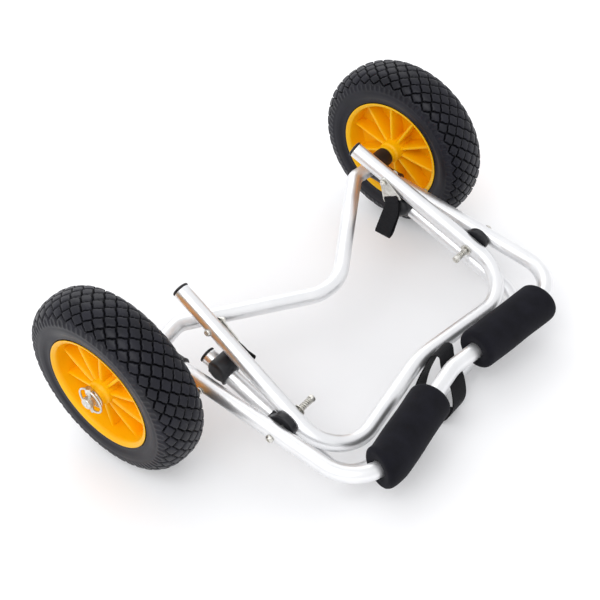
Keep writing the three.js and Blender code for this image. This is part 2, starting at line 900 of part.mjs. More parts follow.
function wheel(label, side) {
  const group = new THREE.Group();
  group.position.y = side * wheelMiddle;
  const rubber = piece(`${label}_tyre`, tyre(), "rubber");
  const yellow = piece(`${label}_rim`, rim(), "yellow");
  const phase = side > 0 ? rightRibPhase : leftRibPhase;
  yellow.rotation.set(side > 0 ? 0 : halfTurn, -phase * degree, 0, "YXZ");
  group.add(rubber, yellow);
  return group;
}

function axleGroup(label, side) {
  const group = new THREE.Group();
  group.add(piece(`${label}_axle`, axleStub(side), "zinc"));
  const ring = piece(`${label}_hub_washer`, washer(hubWasherDiameter, axleDiameter, hubWasherThickness), "zinc");
  const hubFace = wheelMiddle + hubWidth * half - hubOffset + fitGap;
  ring.position.y = side > 0 ? hubFace : -hubFace - hubWasherThickness;
  const pin = piece(`${label}_linch_pin`, linchPin(), "zinc");
  pin.position.y = side * linchStation;
  group.add(ring, pin);
  return group;
}

// A bolt set across one leg, its head on the outer side, with a nut where one is asked for
function crossBolt(name, side, x, y, z, shank, reach, headDiameter, headThickness) {
  const screw = piece(name, bolt(shank, reach, headDiameter, headThickness), "zinc");
  screw.position.set(x, side * y, z);
  if (side < 0) {
    screw.rotation.x = halfTurn;
  }
  return screw;
}

function hingeStack(label, side) {
  const group = new THREE.Group();
  const outerFace = Math.abs(cradleLeg(side, hingeStation).y) + tubeRadius + fitGap;
  group.add(crossBolt(`${label}_hinge_bolt`, side, hingeStation, outerFace, hingeHeight,
    hingeBoltDiameter, outerFace - hingeBoltEnd, hingeHeadDiameter, hingeHeadThickness));
  const washerFace = frameHingeSpread - tubeRadius - fitGap - frameToe * hingeWasherDiameter * half;
  const ring = piece(`${label}_hinge_washer`,
    washer(hingeWasherDiameter, hingeBoltDiameter, hingeWasherThickness), "zinc");
  ring.position.set(hingeStation, side > 0 ? washerFace - hingeWasherThickness : -washerFace, hingeHeight);
  const springTop = washerFace - hingeWasherThickness - fitGap;
  const springBottom = hingeBoltEnd + hingeNutThickness + fitGap + fitGap;
  const coil = piece(`${label}_hinge_spring`, hingeSpring(springTop - springBottom), "zinc");
  coil.position.set(hingeStation, side > 0 ? springBottom : -springTop, hingeHeight);
  const nut = piece(`${label}_hinge_nut`, hexNut(hingeNutWidth, hingeBoltDiameter, hingeNutThickness), "zinc");
  nut.position.set(hingeStation, side * (hingeBoltEnd + fitGap + hingeNutThickness * half), hingeHeight);
  group.add(ring, coil, nut);
  return group;
}

function tieDown(label, side) {
  const group = new THREE.Group();
  const seat = frameLeg(side, tieStation);
  const outerFace = Math.abs(seat.y) + tubeRadius + fitGap + frameToe * tieHeadDiameter * half;
  const innerFace = tiePlateFace();
  const reach = outerFace - innerFace + tiePlateThickness + fitGap + tieNutThickness + tieBoltTail;
  group.add(crossBolt(`${label}_tie_bolt`, side, seat.x, outerFace, seat.z,
    tieBoltDiameter, reach, tieHeadDiameter, tieHeadThickness));
  const swing = tiePlateSwing * degree;
  const plate = piece(`${label}_tie_plate`, tiePlate(), "zinc");
  plate.position.set(seat.x, side > 0 ? innerFace - tiePlateThickness : -innerFace, seat.z);
  plate.rotation.y = -swing;
  const strap = piece(`${label}_webbing_loop`, webbing(side), "webbing");
  const reachDown = tiePlateLength - tieSlotInset - tieSlotHeight * half + webbingTop;
  strap.position.set(
    seat.x + reachDown * Math.sin(swing),
    side * (innerFace - tiePlateThickness * half),
    seat.z - reachDown * Math.cos(swing),
  );
  const nut = piece(`${label}_tie_nut`, hexNut(tieNutWidth, tieBoltDiameter, tieNutThickness), "zinc");
  nut.position.set(seat.x, side * (innerFace - tiePlateThickness - fitGap - tieNutThickness * half), seat.z);
  group.add(plate, strap, nut);
  return group;
}

function lockBolt(label, side) {
  const seat = cradleLeg(side, lockBoltStation);
  const outerFace = Math.abs(seat.y) + tubeRadius + fitGap;
  return crossBolt(`${label}_lock_bolt`, side, seat.x, outerFace, seat.z,
    tieBoltDiameter, tubeDiameter + fitGap + fitGap, tieHeadDiameter, tieHeadThickness);
}

function buildCart() {
  const cart = new THREE.Group();
  cart.add(piece("cradle_tube", cradleTube(), "aluminium"));
  cart.add(piece("axle_tube", axleTube(), "aluminium"));
  cart.add(piece("frame_tube", frameTube(), "aluminium"));
  cart.add(piece("stand_tube", standTube(), "aluminium"));
  for (const [label, side] of leftAndRight) {
    const teeStation = side > 0 ? rightTeeStation : leftTeeStation;
    cart.add(wheel(label, side), axleGroup(label, side), hingeStack(label, side), tieDown(label, side));
    cart.add(piece(`${label}_connector`, connector(side), "plastic"));
    const padStart = side > 0 ? rightPadStart : leftPadStart;
    cart.add(lockBolt(label, side), piece(`${label}_foam_pad`, foamPad(side, padStart), "foam"));
    cart.add(piece(`${label}_stand_lug`, standLug(side), "plastic"));
    cart.add(piece(`${label}_stand_tee`, slidingTee(side, teeStation), "plastic"));
    const frameBack = direction(frameLeg(side, hingeStation), frameLeg(side, frameEndStation));
    const standBack = direction(standLeg(side, hingeStation), standLeg(side, standEndStation));
    cart.add(capOn(`${label}_frame_cap`, frameLeg(side, frameEndStation), frameBack));
    cart.add(capOn(`${label}_stand_cap`, standLeg(side, standEndStation), standBack));
  }
  const strap = piece("centre_strap", centreStrap(), "webbing");
  const cross = standLeg(1, standReach);
  strap.position.set(cross.x, 0, cross.z);
  cart.add(strap);
  return cart;
}

// Tip the cart about its axle until the strap under the stand's cross part is as low as the tyres
function restingPitch() {
  const cross = standLeg(1, standReach);
  const reach = Math.hypot(cross.x, cross.z);
  const belowCross = tubeRadius + fitGap + strapThickness;
  return Math.asin((tyreDiameter * half - belowCross) / reach) - Math.atan2(-cross.z, cross.x);
}

// Put the middle of the cart's footprint at the origin, on the floor
function setDown(cart) {
  cart.rotation.y = restingPitch();
  const whole = new THREE.Group();
  whole.add(cart);
  whole.updateMatrixWorld(true);
  const box = new THREE.Box3().setFromObject(whole, true);
  cart.position.set(-(box.min.x + box.max.x) * half, -(box.min.y + box.max.y) * half, -box.min.z);
  return whole;
}

export default setDown(buildCart());
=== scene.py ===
# A folding kayak cart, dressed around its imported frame.
# Shapes are worked out in the cart's own frame in millimetres (x forward from the axle to
# the padded cradle, y to the right wheel, z up) and set down on the floor by toFloor().

import json
import math

import bmesh
import bpy
import numpy as np
from mathutils import Matrix, Vector

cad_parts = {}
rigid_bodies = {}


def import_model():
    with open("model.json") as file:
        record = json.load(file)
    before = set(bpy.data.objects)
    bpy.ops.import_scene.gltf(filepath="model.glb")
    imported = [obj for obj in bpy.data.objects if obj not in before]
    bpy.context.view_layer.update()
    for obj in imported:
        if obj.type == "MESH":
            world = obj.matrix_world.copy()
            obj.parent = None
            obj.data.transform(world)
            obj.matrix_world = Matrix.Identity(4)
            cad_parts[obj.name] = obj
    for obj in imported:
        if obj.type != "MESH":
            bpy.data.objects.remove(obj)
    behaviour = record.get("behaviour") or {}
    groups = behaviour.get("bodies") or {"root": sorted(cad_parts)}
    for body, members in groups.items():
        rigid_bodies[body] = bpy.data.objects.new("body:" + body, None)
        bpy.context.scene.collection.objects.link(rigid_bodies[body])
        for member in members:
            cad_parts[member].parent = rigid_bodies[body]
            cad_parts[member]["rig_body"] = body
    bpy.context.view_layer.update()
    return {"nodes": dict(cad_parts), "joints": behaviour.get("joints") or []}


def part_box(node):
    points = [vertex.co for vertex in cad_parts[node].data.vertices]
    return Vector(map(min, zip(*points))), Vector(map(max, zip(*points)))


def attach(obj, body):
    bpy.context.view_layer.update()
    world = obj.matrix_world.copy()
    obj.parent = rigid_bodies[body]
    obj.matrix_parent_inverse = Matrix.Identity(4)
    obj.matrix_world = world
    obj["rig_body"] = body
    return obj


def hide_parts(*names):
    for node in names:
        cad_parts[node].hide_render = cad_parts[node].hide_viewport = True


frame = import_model()
print("stage: frame loaded")

sides = {"left": -1, "right": 1}
legs = {
    "tubeRadius": 11.0,
    "cradleSpread": 235.6, "cradleToe": -0.0207, "cradleDrop": 8.3, "cradleSlope": -0.0638,
    "hinge": 198.5,
    "frameSpread": 198.8, "frameToe": 0.0838, "frameSlope": -0.425,
    "standSpread": 202.0, "standToe": 0.0, "standDrop": 27.0, "standSlope": -0.33,
}


def legLine(kind, start, height):
    # A straight leg, which spreads by its toe and rises by its slope from the start on
    def place(side, x):
        ahead = x - start
        spread = legs[f"{kind}Spread"] + legs[f"{kind}Toe"] * ahead
        return np.array([x, side * spread, height + legs[f"{kind}Slope"] * ahead])
    return place


cradleLeg = legLine("cradle", 0, -legs["cradleDrop"])
hingeHeight = cradleLeg(1, legs["hinge"])[2]
frameLeg = legLine("frame", legs["hinge"], hingeHeight)
standLeg = legLine("stand", legs["hinge"], hingeHeight - legs["standDrop"])

# The cart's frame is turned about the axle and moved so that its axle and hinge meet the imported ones
tyreLow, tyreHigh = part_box("left_tyre")
axlePlace = (tyreLow + tyreHigh) / 2
foldJoint = next(joint for joint in frame["joints"] if joint["name"] == "frame_fold")
packedLean = math.atan2(foldJoint["pos_m"][2] - axlePlace.z, foldJoint["pos_m"][0] - axlePlace.x)
pitch = math.atan2(hingeHeight, legs["hinge"]) - packedLean


def toFloor(points):
    # Turned by the pitch about y, moved to the axle, and made metres
    x, y, z = np.asarray(points, float).reshape(-1, 3).T
    return np.column_stack([
        (x * math.cos(pitch) + z * math.sin(pitch)) / 1000 + axlePlace.x,
        y / 1000,
        (z * math.cos(pitch) - x * math.sin(pitch)) / 1000 + axlePlace.z,
    ])


def unit(vector):
    return vector / np.linalg.norm(vector, axis=-1, keepdims=True)


def turnAngles(count):
    return np.arange(count) * 2 * np.pi / count


def running(steps):
    # The running total of a row of steps, from 0
    return np.concatenate([[0], np.cumsum(steps)])


def lengths(line):
    # How far along a line each of its points lies
    return running(np.linalg.norm(np.diff(line, axis=0), axis=1))


def pointsAt(stations, line):
    span = lengths(line)
    return np.column_stack([np.interp(stations, span, values) for values in line.T])


def stacked(*components):
    return np.stack(np.broadcast_arrays(*components), axis=-1)


# Surfaces: each part is (points, faces, uv per face corner), and parts join into one piece.
# An outline is a row of (radius, height) pairs that is turned about an axis.
def gridPart(grid, along=False, uv=None):
    # Point (i, j) of the grid joins its neighbours (i + 1, j) and (i, j + 1) in four-cornered
    # faces. Its columns run round. Its rows do too with along, and else flat caps close both ends.
    rows, cols = grid.shape[:2]
    steps = np.arange(rows if along else rows - 1)
    i, j = (index.ravel() for index in np.meshgrid(steps, np.arange(cols), indexing="ij"))
    nextI, nextJ = (i + 1) % rows, (j + 1) % cols
    here, ahead = i * cols, nextI * cols
    quads = np.column_stack([here + j, here + nextJ, ahead + nextJ, ahead + j])
    if uv is None:
        alongSteps = np.linalg.norm(np.diff(grid, axis=0, append=grid[:1]), axis=2).mean(axis=1)
        aroundSteps = np.linalg.norm(np.diff(grid, axis=1, append=grid[:, :1]), axis=2).mean(axis=0)
        uv = running(aroundSteps) / 1000, running(alongSteps) / 1000
    u, v = uv
    places = ((j, i), (j + 1, i), (j + 1, i + 1), (j, i + 1))
    corners = np.stack([stacked(u[column], v[row]) for column, row in places], axis=1)
    points = grid.reshape(-1, 3)
    caps = [] if along else [list(range(cols))[::-1], list(range((rows - 1) * cols, rows * cols))]
    # Where the faces look inwards the volume they enclose comes out negative, and they are turned
    a, b, c, d = (points[quads[:, k]] for k in range(4))
    volume = (a * np.cross(b, c)).sum() + (a * np.cross(c, d)).sum()
    for cap in caps:
        fan = points[cap]
        volume += (fan[0] * np.cross(fan[1:-1], fan[2:])).sum()
    if volume < 0:
        quads, corners = quads[:, ::-1], corners[:, ::-1]
        caps = [cap[::-1] for cap in caps]
    flat = np.vstack([corners.reshape(-1, 2), np.zeros((len(caps) * cols, 2))])
    return points, quads.tolist() + caps, flat


def eased(corners, radius, steps=4):
    # Each inner corner of an outline becomes a curve of the blend (1-t)^2 A + 2t(1-t) B + t^2 C,
    # which takes up no more than the given share of the sides it joins
    most = 0.45
    corners = np.asarray(corners, float)
    share = np.linspace(0, 1, steps + 1)[:, None]
    rows = [corners[:1]]
    for before, corner, after in zip(corners, corners[1:], corners[2:]):
        start, end = (
            corner + unit(side - corner) * min(radius, np.linalg.norm(side - corner) * most)
            for side in (before, after)
        )
        rows.append((1 - share) ** 2 * start + 2 * share * (1 - share) * corner + share ** 2 * end)
    rows.append(corners[-1:])
    return np.vstack(rows)


def turned(outline, centre, axis, segments=48, hexRows=None):
    # An outline turned about an axis: p = centre + h axis + r (cos t e1 + sin t e2).
    # Where hexRows says so the radius follows a hexagon, cos 30 / cos(t mod 60 - 30).
    axis = unit(np.asarray(axis, float))
    first = unit(np.cross(axis, [0.0, 0.0, 1.0] if abs(axis[2]) < 0.9 else [1.0, 0.0, 0.0]))
    second = np.cross(axis, first)
    angle = turnAngles(segments)
    radius = np.repeat(outline[:, :1], segments, axis=1)
    if hexRows is not None:
        flat = np.cos(np.pi / 6) / np.cos(angle % (np.pi / 3) - np.pi / 6)
        radius = np.where(hexRows[:, None], radius * flat, radius)
    ring = np.cos(angle)[:, None] * first + np.sin(angle)[:, None] * second
    return np.asarray(centre) + outline[:, 1, None, None] * axis + radius[:, :, None] * ring


def turnedPart(outline, centre, axis, segments=48, hexRows=None, closed=False):
    grid = turned(np.asarray(outline, float), centre, axis, segments, hexRows)
    return gridPart(grid, along=closed)


bend = {"step": 3.0, "straightStep": 12.0, "fewest": 6}


def bentPath(corners, radii):
    # Straight runs joined by round bends. A bend of radius r and turn t starts r tan(t/2) before
    # its corner, and its points are centre + r (cos a outward + sin a inward direction).
    corners = np.asarray(corners, float)
    rows = [corners[:1]]
    for before, corner, after, radius in zip(corners, corners[1:], corners[2:], radii):
        inward, onward = unit(corner - before), unit(after - corner)
        turn = math.acos(float(np.clip(inward @ onward, -1, 1)))
        start = corner - inward * radius * math.tan(turn / 2)
        outward = -unit(onward - inward * (inward @ onward))
        centre = start - outward * radius
        count = max(bend["fewest"], math.ceil(radius * turn / bend["step"]))
        angle = np.linspace(0, turn, count)[:, None]
        rows.append(centre + radius * (np.cos(angle) * outward + np.sin(angle) * inward))
    rows.append(corners[-1:])
    path = np.vstack(rows)
    span = lengths(path)
    stations = np.concatenate([span, np.arange(0, span[-1], bend["straightStep"])])
    stations = np.unique(np.round(stations, 2))
    return pointsAt(stations, path)


def carried(path, section, across, up):
    # A section's (across, up) pairs, set out at each point of the path
    return path[:, None] + section[..., :1] * across[:, None] + section[..., 1:] * up[:, None]


def swept(path, section):
    # A closed section carried square to the path, with its second way as near upright as it can be
    tangent = unit(np.gradient(path, axis=0))
    up = unit(np.array([0.0, 0.0, 1.0]) - tangent * tangent[:, 2:])
    return carried(path, section, np.cross(tangent, up), up)


def circle(radius, segments=40):
    angle = turnAngles(segments)
    return np.column_stack([np.cos(angle), np.sin(angle)]) * radius


def join(parts):
    points, faces, uvs, count = [], [], [], 0
    for part in parts:
        points.append(part[0])
        faces += [[index + count for index in face] for face in part[1]]
        uvs.append(part[2])
        count += len(part[0])
    return np.vstack(points), faces, np.vstack(uvs)


# Pieces
def makeBoth(*makers):
    for label, side in sides.items():
        for maker in makers:
            maker(label, side)


def named(label, kind):
    # left and hub_washer make the piece leftHubWasher, which dresses the node left_hub_washer
    return label + kind.title().replace("_", ""), [f"{label}_{kind}"]


def addMesh(name, points, faces):
    mesh = bpy.data.meshes.new(name)
    mesh.from_pydata(toFloor(points).tolist(), [], faces)
    return mesh


def addObject(name, data):
    thing = bpy.data.objects.new(name, data)
    bpy.context.scene.collection.objects.link(thing)
    return thing


def makePiece(name, nodes, parts, slot, sharp=38):
    points, faces, uv = join(parts)
    mesh = addMesh(name, points, faces)
    layer = mesh.uv_layers.new(name="along")
    layer.data.foreach_set("uv", uv.ravel().astype(np.float32))
    return finishPiece(addObject(name, mesh), nodes, slot, sharp)


def finishPiece(piece, nodes, slot, sharp):
    # Faces that meet at more than the sharp angle keep a crisp edge
    mesh = piece.data
    mesh.polygons.foreach_set("use_smooth", np.ones(len(mesh.polygons), bool))
    mesh.set_sharp_from_angle(angle=math.radians(sharp))
    mesh.materials.clear()
    mesh.materials.append(materials[slot])
    mesh.update()
    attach(piece, frame["nodes"][nodes[0]]["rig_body"])
    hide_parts(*nodes)
    return piece


# Materials
class Recipe:
    # A material under way: its nodes, its links and its shader
    def __init__(self, name, **sockets):
        self.material = bpy.data.materials.new(name)
        self.material.use_nodes = True
        self.tree = self.material.node_tree
        self.shader = self.tree.nodes["Principled BSDF"]
        for socket, value in sockets.items():
            self.shader.inputs[socket.replace("_", " ")].default_value = value

    def add(self, kind, settings=None, **links):
        node = self.tree.nodes.new(kind)
        for name, value in (settings or {}).items():
            if name in node.inputs:
                node.inputs[name].default_value = value
            else:
                setattr(node, name, value)
        for name, source in links.items():
            self.tree.links.new(source, node.inputs[name.replace("_", " ")])
        return node

    def place(self, scale=(1, 1, 1), onSurface=False):
        source = self.add("ShaderNodeTexCoord").outputs["UV" if onSurface else "Object"]
        return self.add("ShaderNodeMapping", {"Scale": scale}, Vector=source).outputs["Vector"]

    def noise(self, scale, detail, vector=None):
        settings = {"Scale": scale, "Detail": detail}
        return self.add("ShaderNodeTexNoise", settings, Vector=vector or self.place()).outputs["Fac"]

    def ramp(self, source, low, high, lowAt=0.3, highAt=0.7):
        node = self.add("ShaderNodeValToRGB", Fac=source)
        ends = ((lowAt, low), (highAt, high))
        for element, (position, colour) in zip(node.color_ramp.elements, ends):
            element.position = position
            element.color = (*colour, 1)
        return node.outputs["Color"]

    def between(self, source, low, high):
        settings = {"To Min": low, "To Max": high}
        return self.add("ShaderNodeMapRange", settings, Value=source).outputs["Result"]

    def wave(self, scale, distortion, way, vector):
        settings = {"Scale": scale, "Distortion": distortion, "bands_direction": way}
        return self.add("ShaderNodeTexWave", settings, Vector=vector).outputs["Fac"]

    def maths(self, operation, first, second):
        node = self.add("ShaderNodeMath", {"operation": operation})
        for source, socket in zip((first, second), node.inputs):
            self.tree.links.new(source, socket)
        return node.outputs["Value"]

    def feed(self, socket, source):
        self.tree.links.new(source, self.shader.inputs[socket])

    def bump(self, height, strength, distance, under=None):
        links = {"Height": height}
        if under is not None:
            links["Normal"] = under
        node = self.add("ShaderNodeBump", {"Strength": strength, "Distance": distance}, **links)
        self.feed("Normal", node.outputs["Normal"])
        return node.outputs["Normal"]

    def grain(self, scale, detail, strength, distance, under=None):
        return self.bump(self.noise(scale, detail), strength, distance, under)

    def coat(self, pattern, low, high, smoothest, roughest, wear=None):
        # Colour follows the pattern, and so does roughness unless it has a pattern of its own
        self.feed("Base Color", self.ramp(pattern, low, high))
        self.feed("Roughness", self.between(wear or pattern, smoothest, roughest))


def anodisedTube():
    # Clear anodised aluminium: fine drawn lines along the tube, faint handling smudges
    recipe = Recipe("anodisedTube", Metallic=0.9, Specular_IOR_Level=0.5)
    alongTube = recipe.place((2600, 9, 1), onSurface=True)
    lines = recipe.noise(scale=1, detail=5, vector=alongTube)
    smudges = recipe.noise(scale=26, detail=3)
    recipe.feed("Base Color", recipe.ramp(smudges, (0.83, 0.835, 0.845), (0.9, 0.9, 0.905)))
    drawn, handled = recipe.between(lines, 0.22, 0.32), recipe.between(smudges, 0.07, 0.13)
    recipe.feed("Roughness", recipe.maths("ADD", drawn, handled))
    grain = recipe.bump(lines, strength=0.1, distance=0.0002)
    recipe.grain(scale=900, detail=2, strength=0.05, distance=0.0001, under=grain)
    return recipe.material


def zincSteel():
    # Zinc plated steel: bright, with a faint warm cast and small dull patches
    recipe = Recipe("zincSteel", Metallic=1.0)
    patches = recipe.noise(scale=180, detail=5)
    recipe.coat(patches, (0.52, 0.5, 0.45), (0.8, 0.79, 0.75), smoothest=0.2, roughest=0.42)
    recipe.grain(scale=1400, detail=3, strength=0.12, distance=0.0002)
    return recipe.material


def tyreRubber():
    # Black rubber: dull block tops in a slowly varying tone, painted shade that darkens the grooves, and a
    # fine grain over slow unevenness
    recipe = Recipe("tyreRubber", Specular_IOR_Level=0.27)
    # The groove mask says where the painted shade goes
    paintedGrooveShade = recipe.add("ShaderNodeAttribute", {"attribute_name": "paintedGrooveShade"}).outputs["Fac"]
    bloom = recipe.noise(scale=34, detail=5)
    top = recipe.ramp(bloom, (0.0045, 0.0045, 0.008), (0.009, 0.009, 0.016))
    mix = recipe.add("ShaderNodeMix", {"data_type": "RGBA"}, Factor=paintedGrooveShade)
    colours, mixed = mix.inputs[6:8], mix.outputs[2]
    recipe.tree.links.new(top, colours[0])
    # Painted shade: the grooves take this darker black
    colours[1].default_value = (0.002, 0.002, 0.003, 1)
    recipe.feed("Base Color", mixed)
    recipe.feed("Roughness", recipe.between(bloom, 0.28, 0.54))
    skin = recipe.grain(scale=700, detail=4, strength=0.22, distance=0.0003)
    recipe.grain(scale=90, detail=3, strength=0.1, distance=0.0008, under=skin)
    return recipe.material


def mouldedYellow():
    # Amber moulded plastic: satin skin, slight flow marks and deeper colour in patches
    recipe = Recipe("mouldedYellow", Specular_IOR_Level=0.28, Subsurface_Weight=0.05)
    flow = recipe.noise(scale=22, detail=3)
    wear = recipe.noise(scale=120, detail=4)
    recipe.coat(flow, (1.0, 0.48, 0.0), (1.0, 0.55, 0.001), smoothest=0.28, roughest=0.44, wear=wear)
    recipe.grain(scale=1100, detail=2, strength=0.1, distance=0.0002)
    return recipe.material


def blackPlastic():
    # Glass-filled black plastic: fine spark-eroded grain and small pale rubs
    recipe = Recipe("blackPlastic", Specular_IOR_Level=0.4)
    rubs = recipe.noise(scale=75, detail=6)
    recipe.coat(rubs, (0.006, 0.006, 0.008), (0.016, 0.016, 0.019), smoothest=0.34, roughest=0.52)
    recipe.grain(scale=2200, detail=3, strength=0.25, distance=0.0002)
    return recipe.material


def padFoam():
    # Closed-cell foam with a dull skin: open pores, soft mottling and a faint pale sheen
    recipe = Recipe("padFoam", Sheen_Weight=0.03, Sheen_Roughness=0.5, Specular_IOR_Level=0.15)
    mottle = recipe.noise(scale=48, detail=6)
    recipe.coat(mottle, (0.004, 0.004, 0.0065), (0.0095, 0.0095, 0.0145), smoothest=0.78, roughest=0.95)
    pores = recipe.add("ShaderNodeTexVoronoi", {"Scale": 850}, Vector=recipe.place()).outputs["Distance"]
    skin = recipe.bump(pores, strength=0.3, distance=0.0004)
    recipe.grain(scale=60, detail=3, strength=0.25, distance=0.0012, under=skin)
    return recipe.material


def wovenWebbing():
    # Black woven tape: ribs across it, warp lines along it, both read from the strap's own map
    recipe = Recipe("wovenWebbing", Sheen_Weight=0.08, Sheen_Roughness=0.4, Specular_IOR_Level=0.22)
    tape = recipe.place(onSurface=True)
    ribs = recipe.wave(scale=210, distortion=0.4, way="Y", vector=tape)
    warp = recipe.wave(scale=160, distortion=0.3, way="X", vector=tape)
    weave = recipe.maths("MULTIPLY", ribs, warp)
    colour = recipe.ramp(weave, (0.003, 0.003, 0.004), (0.017, 0.017, 0.021), lowAt=0.1, highAt=0.9)
    recipe.feed("Base Color", colour)
    recipe.feed("Roughness", recipe.between(recipe.noise(scale=300, detail=4), 0.62, 0.85))
    recipe.bump(weave, strength=0.6, distance=0.0004)
    return recipe.material


materials = {
    "tube": anodisedTube(), "hardware": zincSteel(), "tyre": tyreRubber(), "rim": mouldedYellow(),
    "fitting": blackPlastic(), "foam": padFoam(), "webbing": wovenWebbing(),
}
print("stage: materials ready")

# Frame tubes
cradle = {"start": 18, "corner": 336, "radius": 56, "apexReach": 303, "apexRise": -31, "apexRadius": 60}
axleBow = {
    "end": 243, "sleeve": 221, "shoulder": 189, "setback": 3, "rise": 3, "easing": 27,
    "bow": 114.3, "bowDrop": 9.7, "bowRadius": 68.7,
}
innerFrame = {
    "start": 2, "corner": 280.4, "radius": 60, "apexReach": 251.4, "apexRise": 6.5, "apexRadius": 170,
}
stand = {"start": 61, "corner": 293, "radius": 42}
tubeEnd = {"inset": [0, 0.25, 0.7], "sink": [0.6, 0.2, 0]}


def bowPath(leg, bow, apexHeight=None):
    # Up one leg, round its corner, over the apex if there is one, and down the other leg
    left, right = ([leg(side, bow["start"]), leg(side, bow["corner"])] for side in (-1, 1))
    radii = [bow["radius"], bow["radius"]]
    if apexHeight is not None:
        left.append([bow["apexReach"], 0, apexHeight])
        radii.insert(1, bow["apexRadius"])
    return bentPath(left + right[::-1], radii)


def cradlePath():
    return bowPath(cradleLeg, cradle, cradle["apexRise"])


def framePath():
    return bowPath(frameLeg, innerFrame, frameLeg(1, innerFrame["corner"])[2] + innerFrame["apexRise"])


def axlePath():
    shoulder = [-axleBow["setback"], axleBow["shoulder"], axleBow["rise"]]
    half = [[0, axleBow["end"], 0], [0, axleBow["sleeve"], 0], shoulder]
    mirrored = [[x, -y, z] for x, y, z in half]
    corners = mirrored + [[axleBow["bow"], 0, -axleBow["bowDrop"]]] + half[::-1]
    easing = axleBow["easing"]
    return bentPath(corners, [easing, easing, axleBow["bowRadius"], easing, easing])


def tubePart(path, radius):
    # A round tube with eased ends: the last three rings sink by 0, 0.2 and 0.6 mm
    tangent = unit(np.gradient(path, axis=0))
    inset = np.array(tubeEnd["inset"])[:, None]
    first, last = path[0] + tangent[0] * inset, path[-1] - tangent[-1] * inset
    line = np.vstack([first, path[1:-1], last[::-1]])
    size = 1 - np.array(tubeEnd["sink"]) / radius
    size = np.concatenate([size, np.ones(len(path) - 2), size[::-1]])
    return gridPart(swept(line, circle(radius)[None] * size[:, None, None]))


tubePaths = {
    "cradle": cradlePath(), "axle": axlePath(), "frame": framePath(), "stand": bowPath(standLeg, stand),
}
for name, path in tubePaths.items():
    makePiece(f"{name}TubeSkin", [f"{name}_tube"], [tubePart(path, legs["tubeRadius"])], "tube")
print("stage: tubes made")

# End caps: an outline of a plug for the bore, a head with an eased edge and its dome
cap = {
    "outline": [(0.3, -9), (8.7, -9), (8.7, 0.3), (11.6, 0.3), (11.6, 2.9), (8.6, 3.9), (0.3, 4.4)],
    "rounding": 1.2,
}


def makeCaps(label, side):
    outline = eased(cap["outline"], cap["rounding"])
    for kind, leg, tube in (("frame", frameLeg, innerFrame), ("stand", standLeg, stand)):
        end = leg(side, tube["start"])
        plug = turnedPart(outline, end, end - leg(side, legs["hinge"]))
        makePiece(*named(label, f"{kind}_cap"), [plug], "fitting")


makeBoth(makeCaps)
print("stage: caps made")

# Tyres: section, tread and flutes. A pair says between which two values a slope of the tread runs:
# distances from the middle line, or shares of a cell for a groove's wall and of a wave for a flute's.
tyre = {
    "track": 611, "belly": 98, "height": 33, "halfWidth": 37, "roundness": 0.83,
    "lip": [(83.5, 33.6), (84.9, 34.3), (87.5, 34.1)], "seatRadius": 78, "seatWidth": 27,
    "cells": 40, "treadHalf": 40, "crownFade": (38.5, 41), "grooveWall": (0.0363, 0.099), "grooveDepth": 3.1,
    "jog": 0.035, "jogSteepness": 4, "blockCrown": 0.9,
    "fluteStart": (39, 41), "fluteFade": (46, 50), "fluteWall": (0.1, 0.75), "fluteDepth": 0.8,
    "stepEdge": (48.8, 50.6), "stepDepth": 0.8, "beadRing": 61, "beadHeight": 0.45, "beadSpread": 1.3,
    "perCell": 20, "sideRows": 18, "curvePoints": 400,
}


def smooth(low, high, value):
    share = np.clip((value - low) / (high - low), 0, 1)
    return share * share * (3 - 2 * share)


def treadCell():
    return 2 * np.pi * (tyre["belly"] + tyre["height"]) / tyre["cells"]


def tyreSection():
    # From side to side it runs x = 37 cos^0.83, r = 98 + 33 sin^0.83, with a lip down to the bead at
    # each end. On the crown its points are as far apart as those round the tyre, so that both ways of
    # grooves run along them.
    angle = np.linspace(0, np.pi, tyre["curvePoints"])
    across = np.sign(np.cos(angle)) * np.abs(np.cos(angle)) ** tyre["roundness"] * tyre["halfWidth"]
    radius = tyre["belly"] + tyre["height"] * np.sin(angle) ** tyre["roundness"]
    lip = np.array(tyre["lip"])
    rows = np.vstack([lip, np.column_stack([radius, across]), (lip * [1, -1])[::-1]])
    middle = lengths(rows)[-1] / 2
    pitch = treadCell() / tyre["perCell"]
    crown = np.arange(math.ceil(tyre["treadHalf"] / pitch) + 1) * pitch
    shoulder = np.linspace(crown[-1], middle, tyre["sideRows"] + 1)[1:]
    outer = np.concatenate([crown, shoulder])
    across = np.concatenate([-outer[:0:-1], outer])
    return pointsAt(across + middle, rows), across


def treadCut(angle, across):
    # Two families of slanting grooves, a + b and a - b at whole numbers, cut the crown into
    # diamonds. Each groove jogs sideways at every crossing, as tanh(4 sin 2 pi (a - b)) does, each
    # diamond's top falls away to its edges by a cube, and short flutes run on down the shoulder.
    a = angle * tyre["cells"] / (2 * np.pi)
    b = across / treadCell()
    aside = np.abs(across)
    cut = fall = 0
    for sign in (1, -1):
        jog = tyre["jog"] * np.tanh(tyre["jogSteepness"] * np.sin(2 * np.pi * (a - sign * b)))
        distance = np.abs((a + sign * b + jog + 0.5) % 1 - 0.5)
        cut = np.maximum(cut, 1 - smooth(*tyre["grooveWall"], distance))
        fall = np.maximum(fall, (1 - 2 * distance) ** 3)
    onCrown = 1 - smooth(*tyre["crownFade"], aside)
    tread = onCrown * (cut * tyre["grooveDepth"] + fall * tyre["blockCrown"])
    onShoulder = smooth(*tyre["fluteStart"], aside) * (1 - smooth(*tyre["fluteFade"], aside))
    flute = smooth(*tyre["fluteWall"], 0.5 + 0.5 * np.cos(4 * np.pi * a)) * tyre["fluteDepth"]
    step = tyre["stepDepth"] * smooth(*tyre["stepEdge"], aside)
    bead = tyre["beadHeight"] * np.exp(-((aside - tyre["beadRing"]) / tyre["beadSpread"]) ** 2)
    # The second value marks the grooves, where the tyre's colour takes painted shade
    return tread + onShoulder * flute + step - bead, cut * onCrown


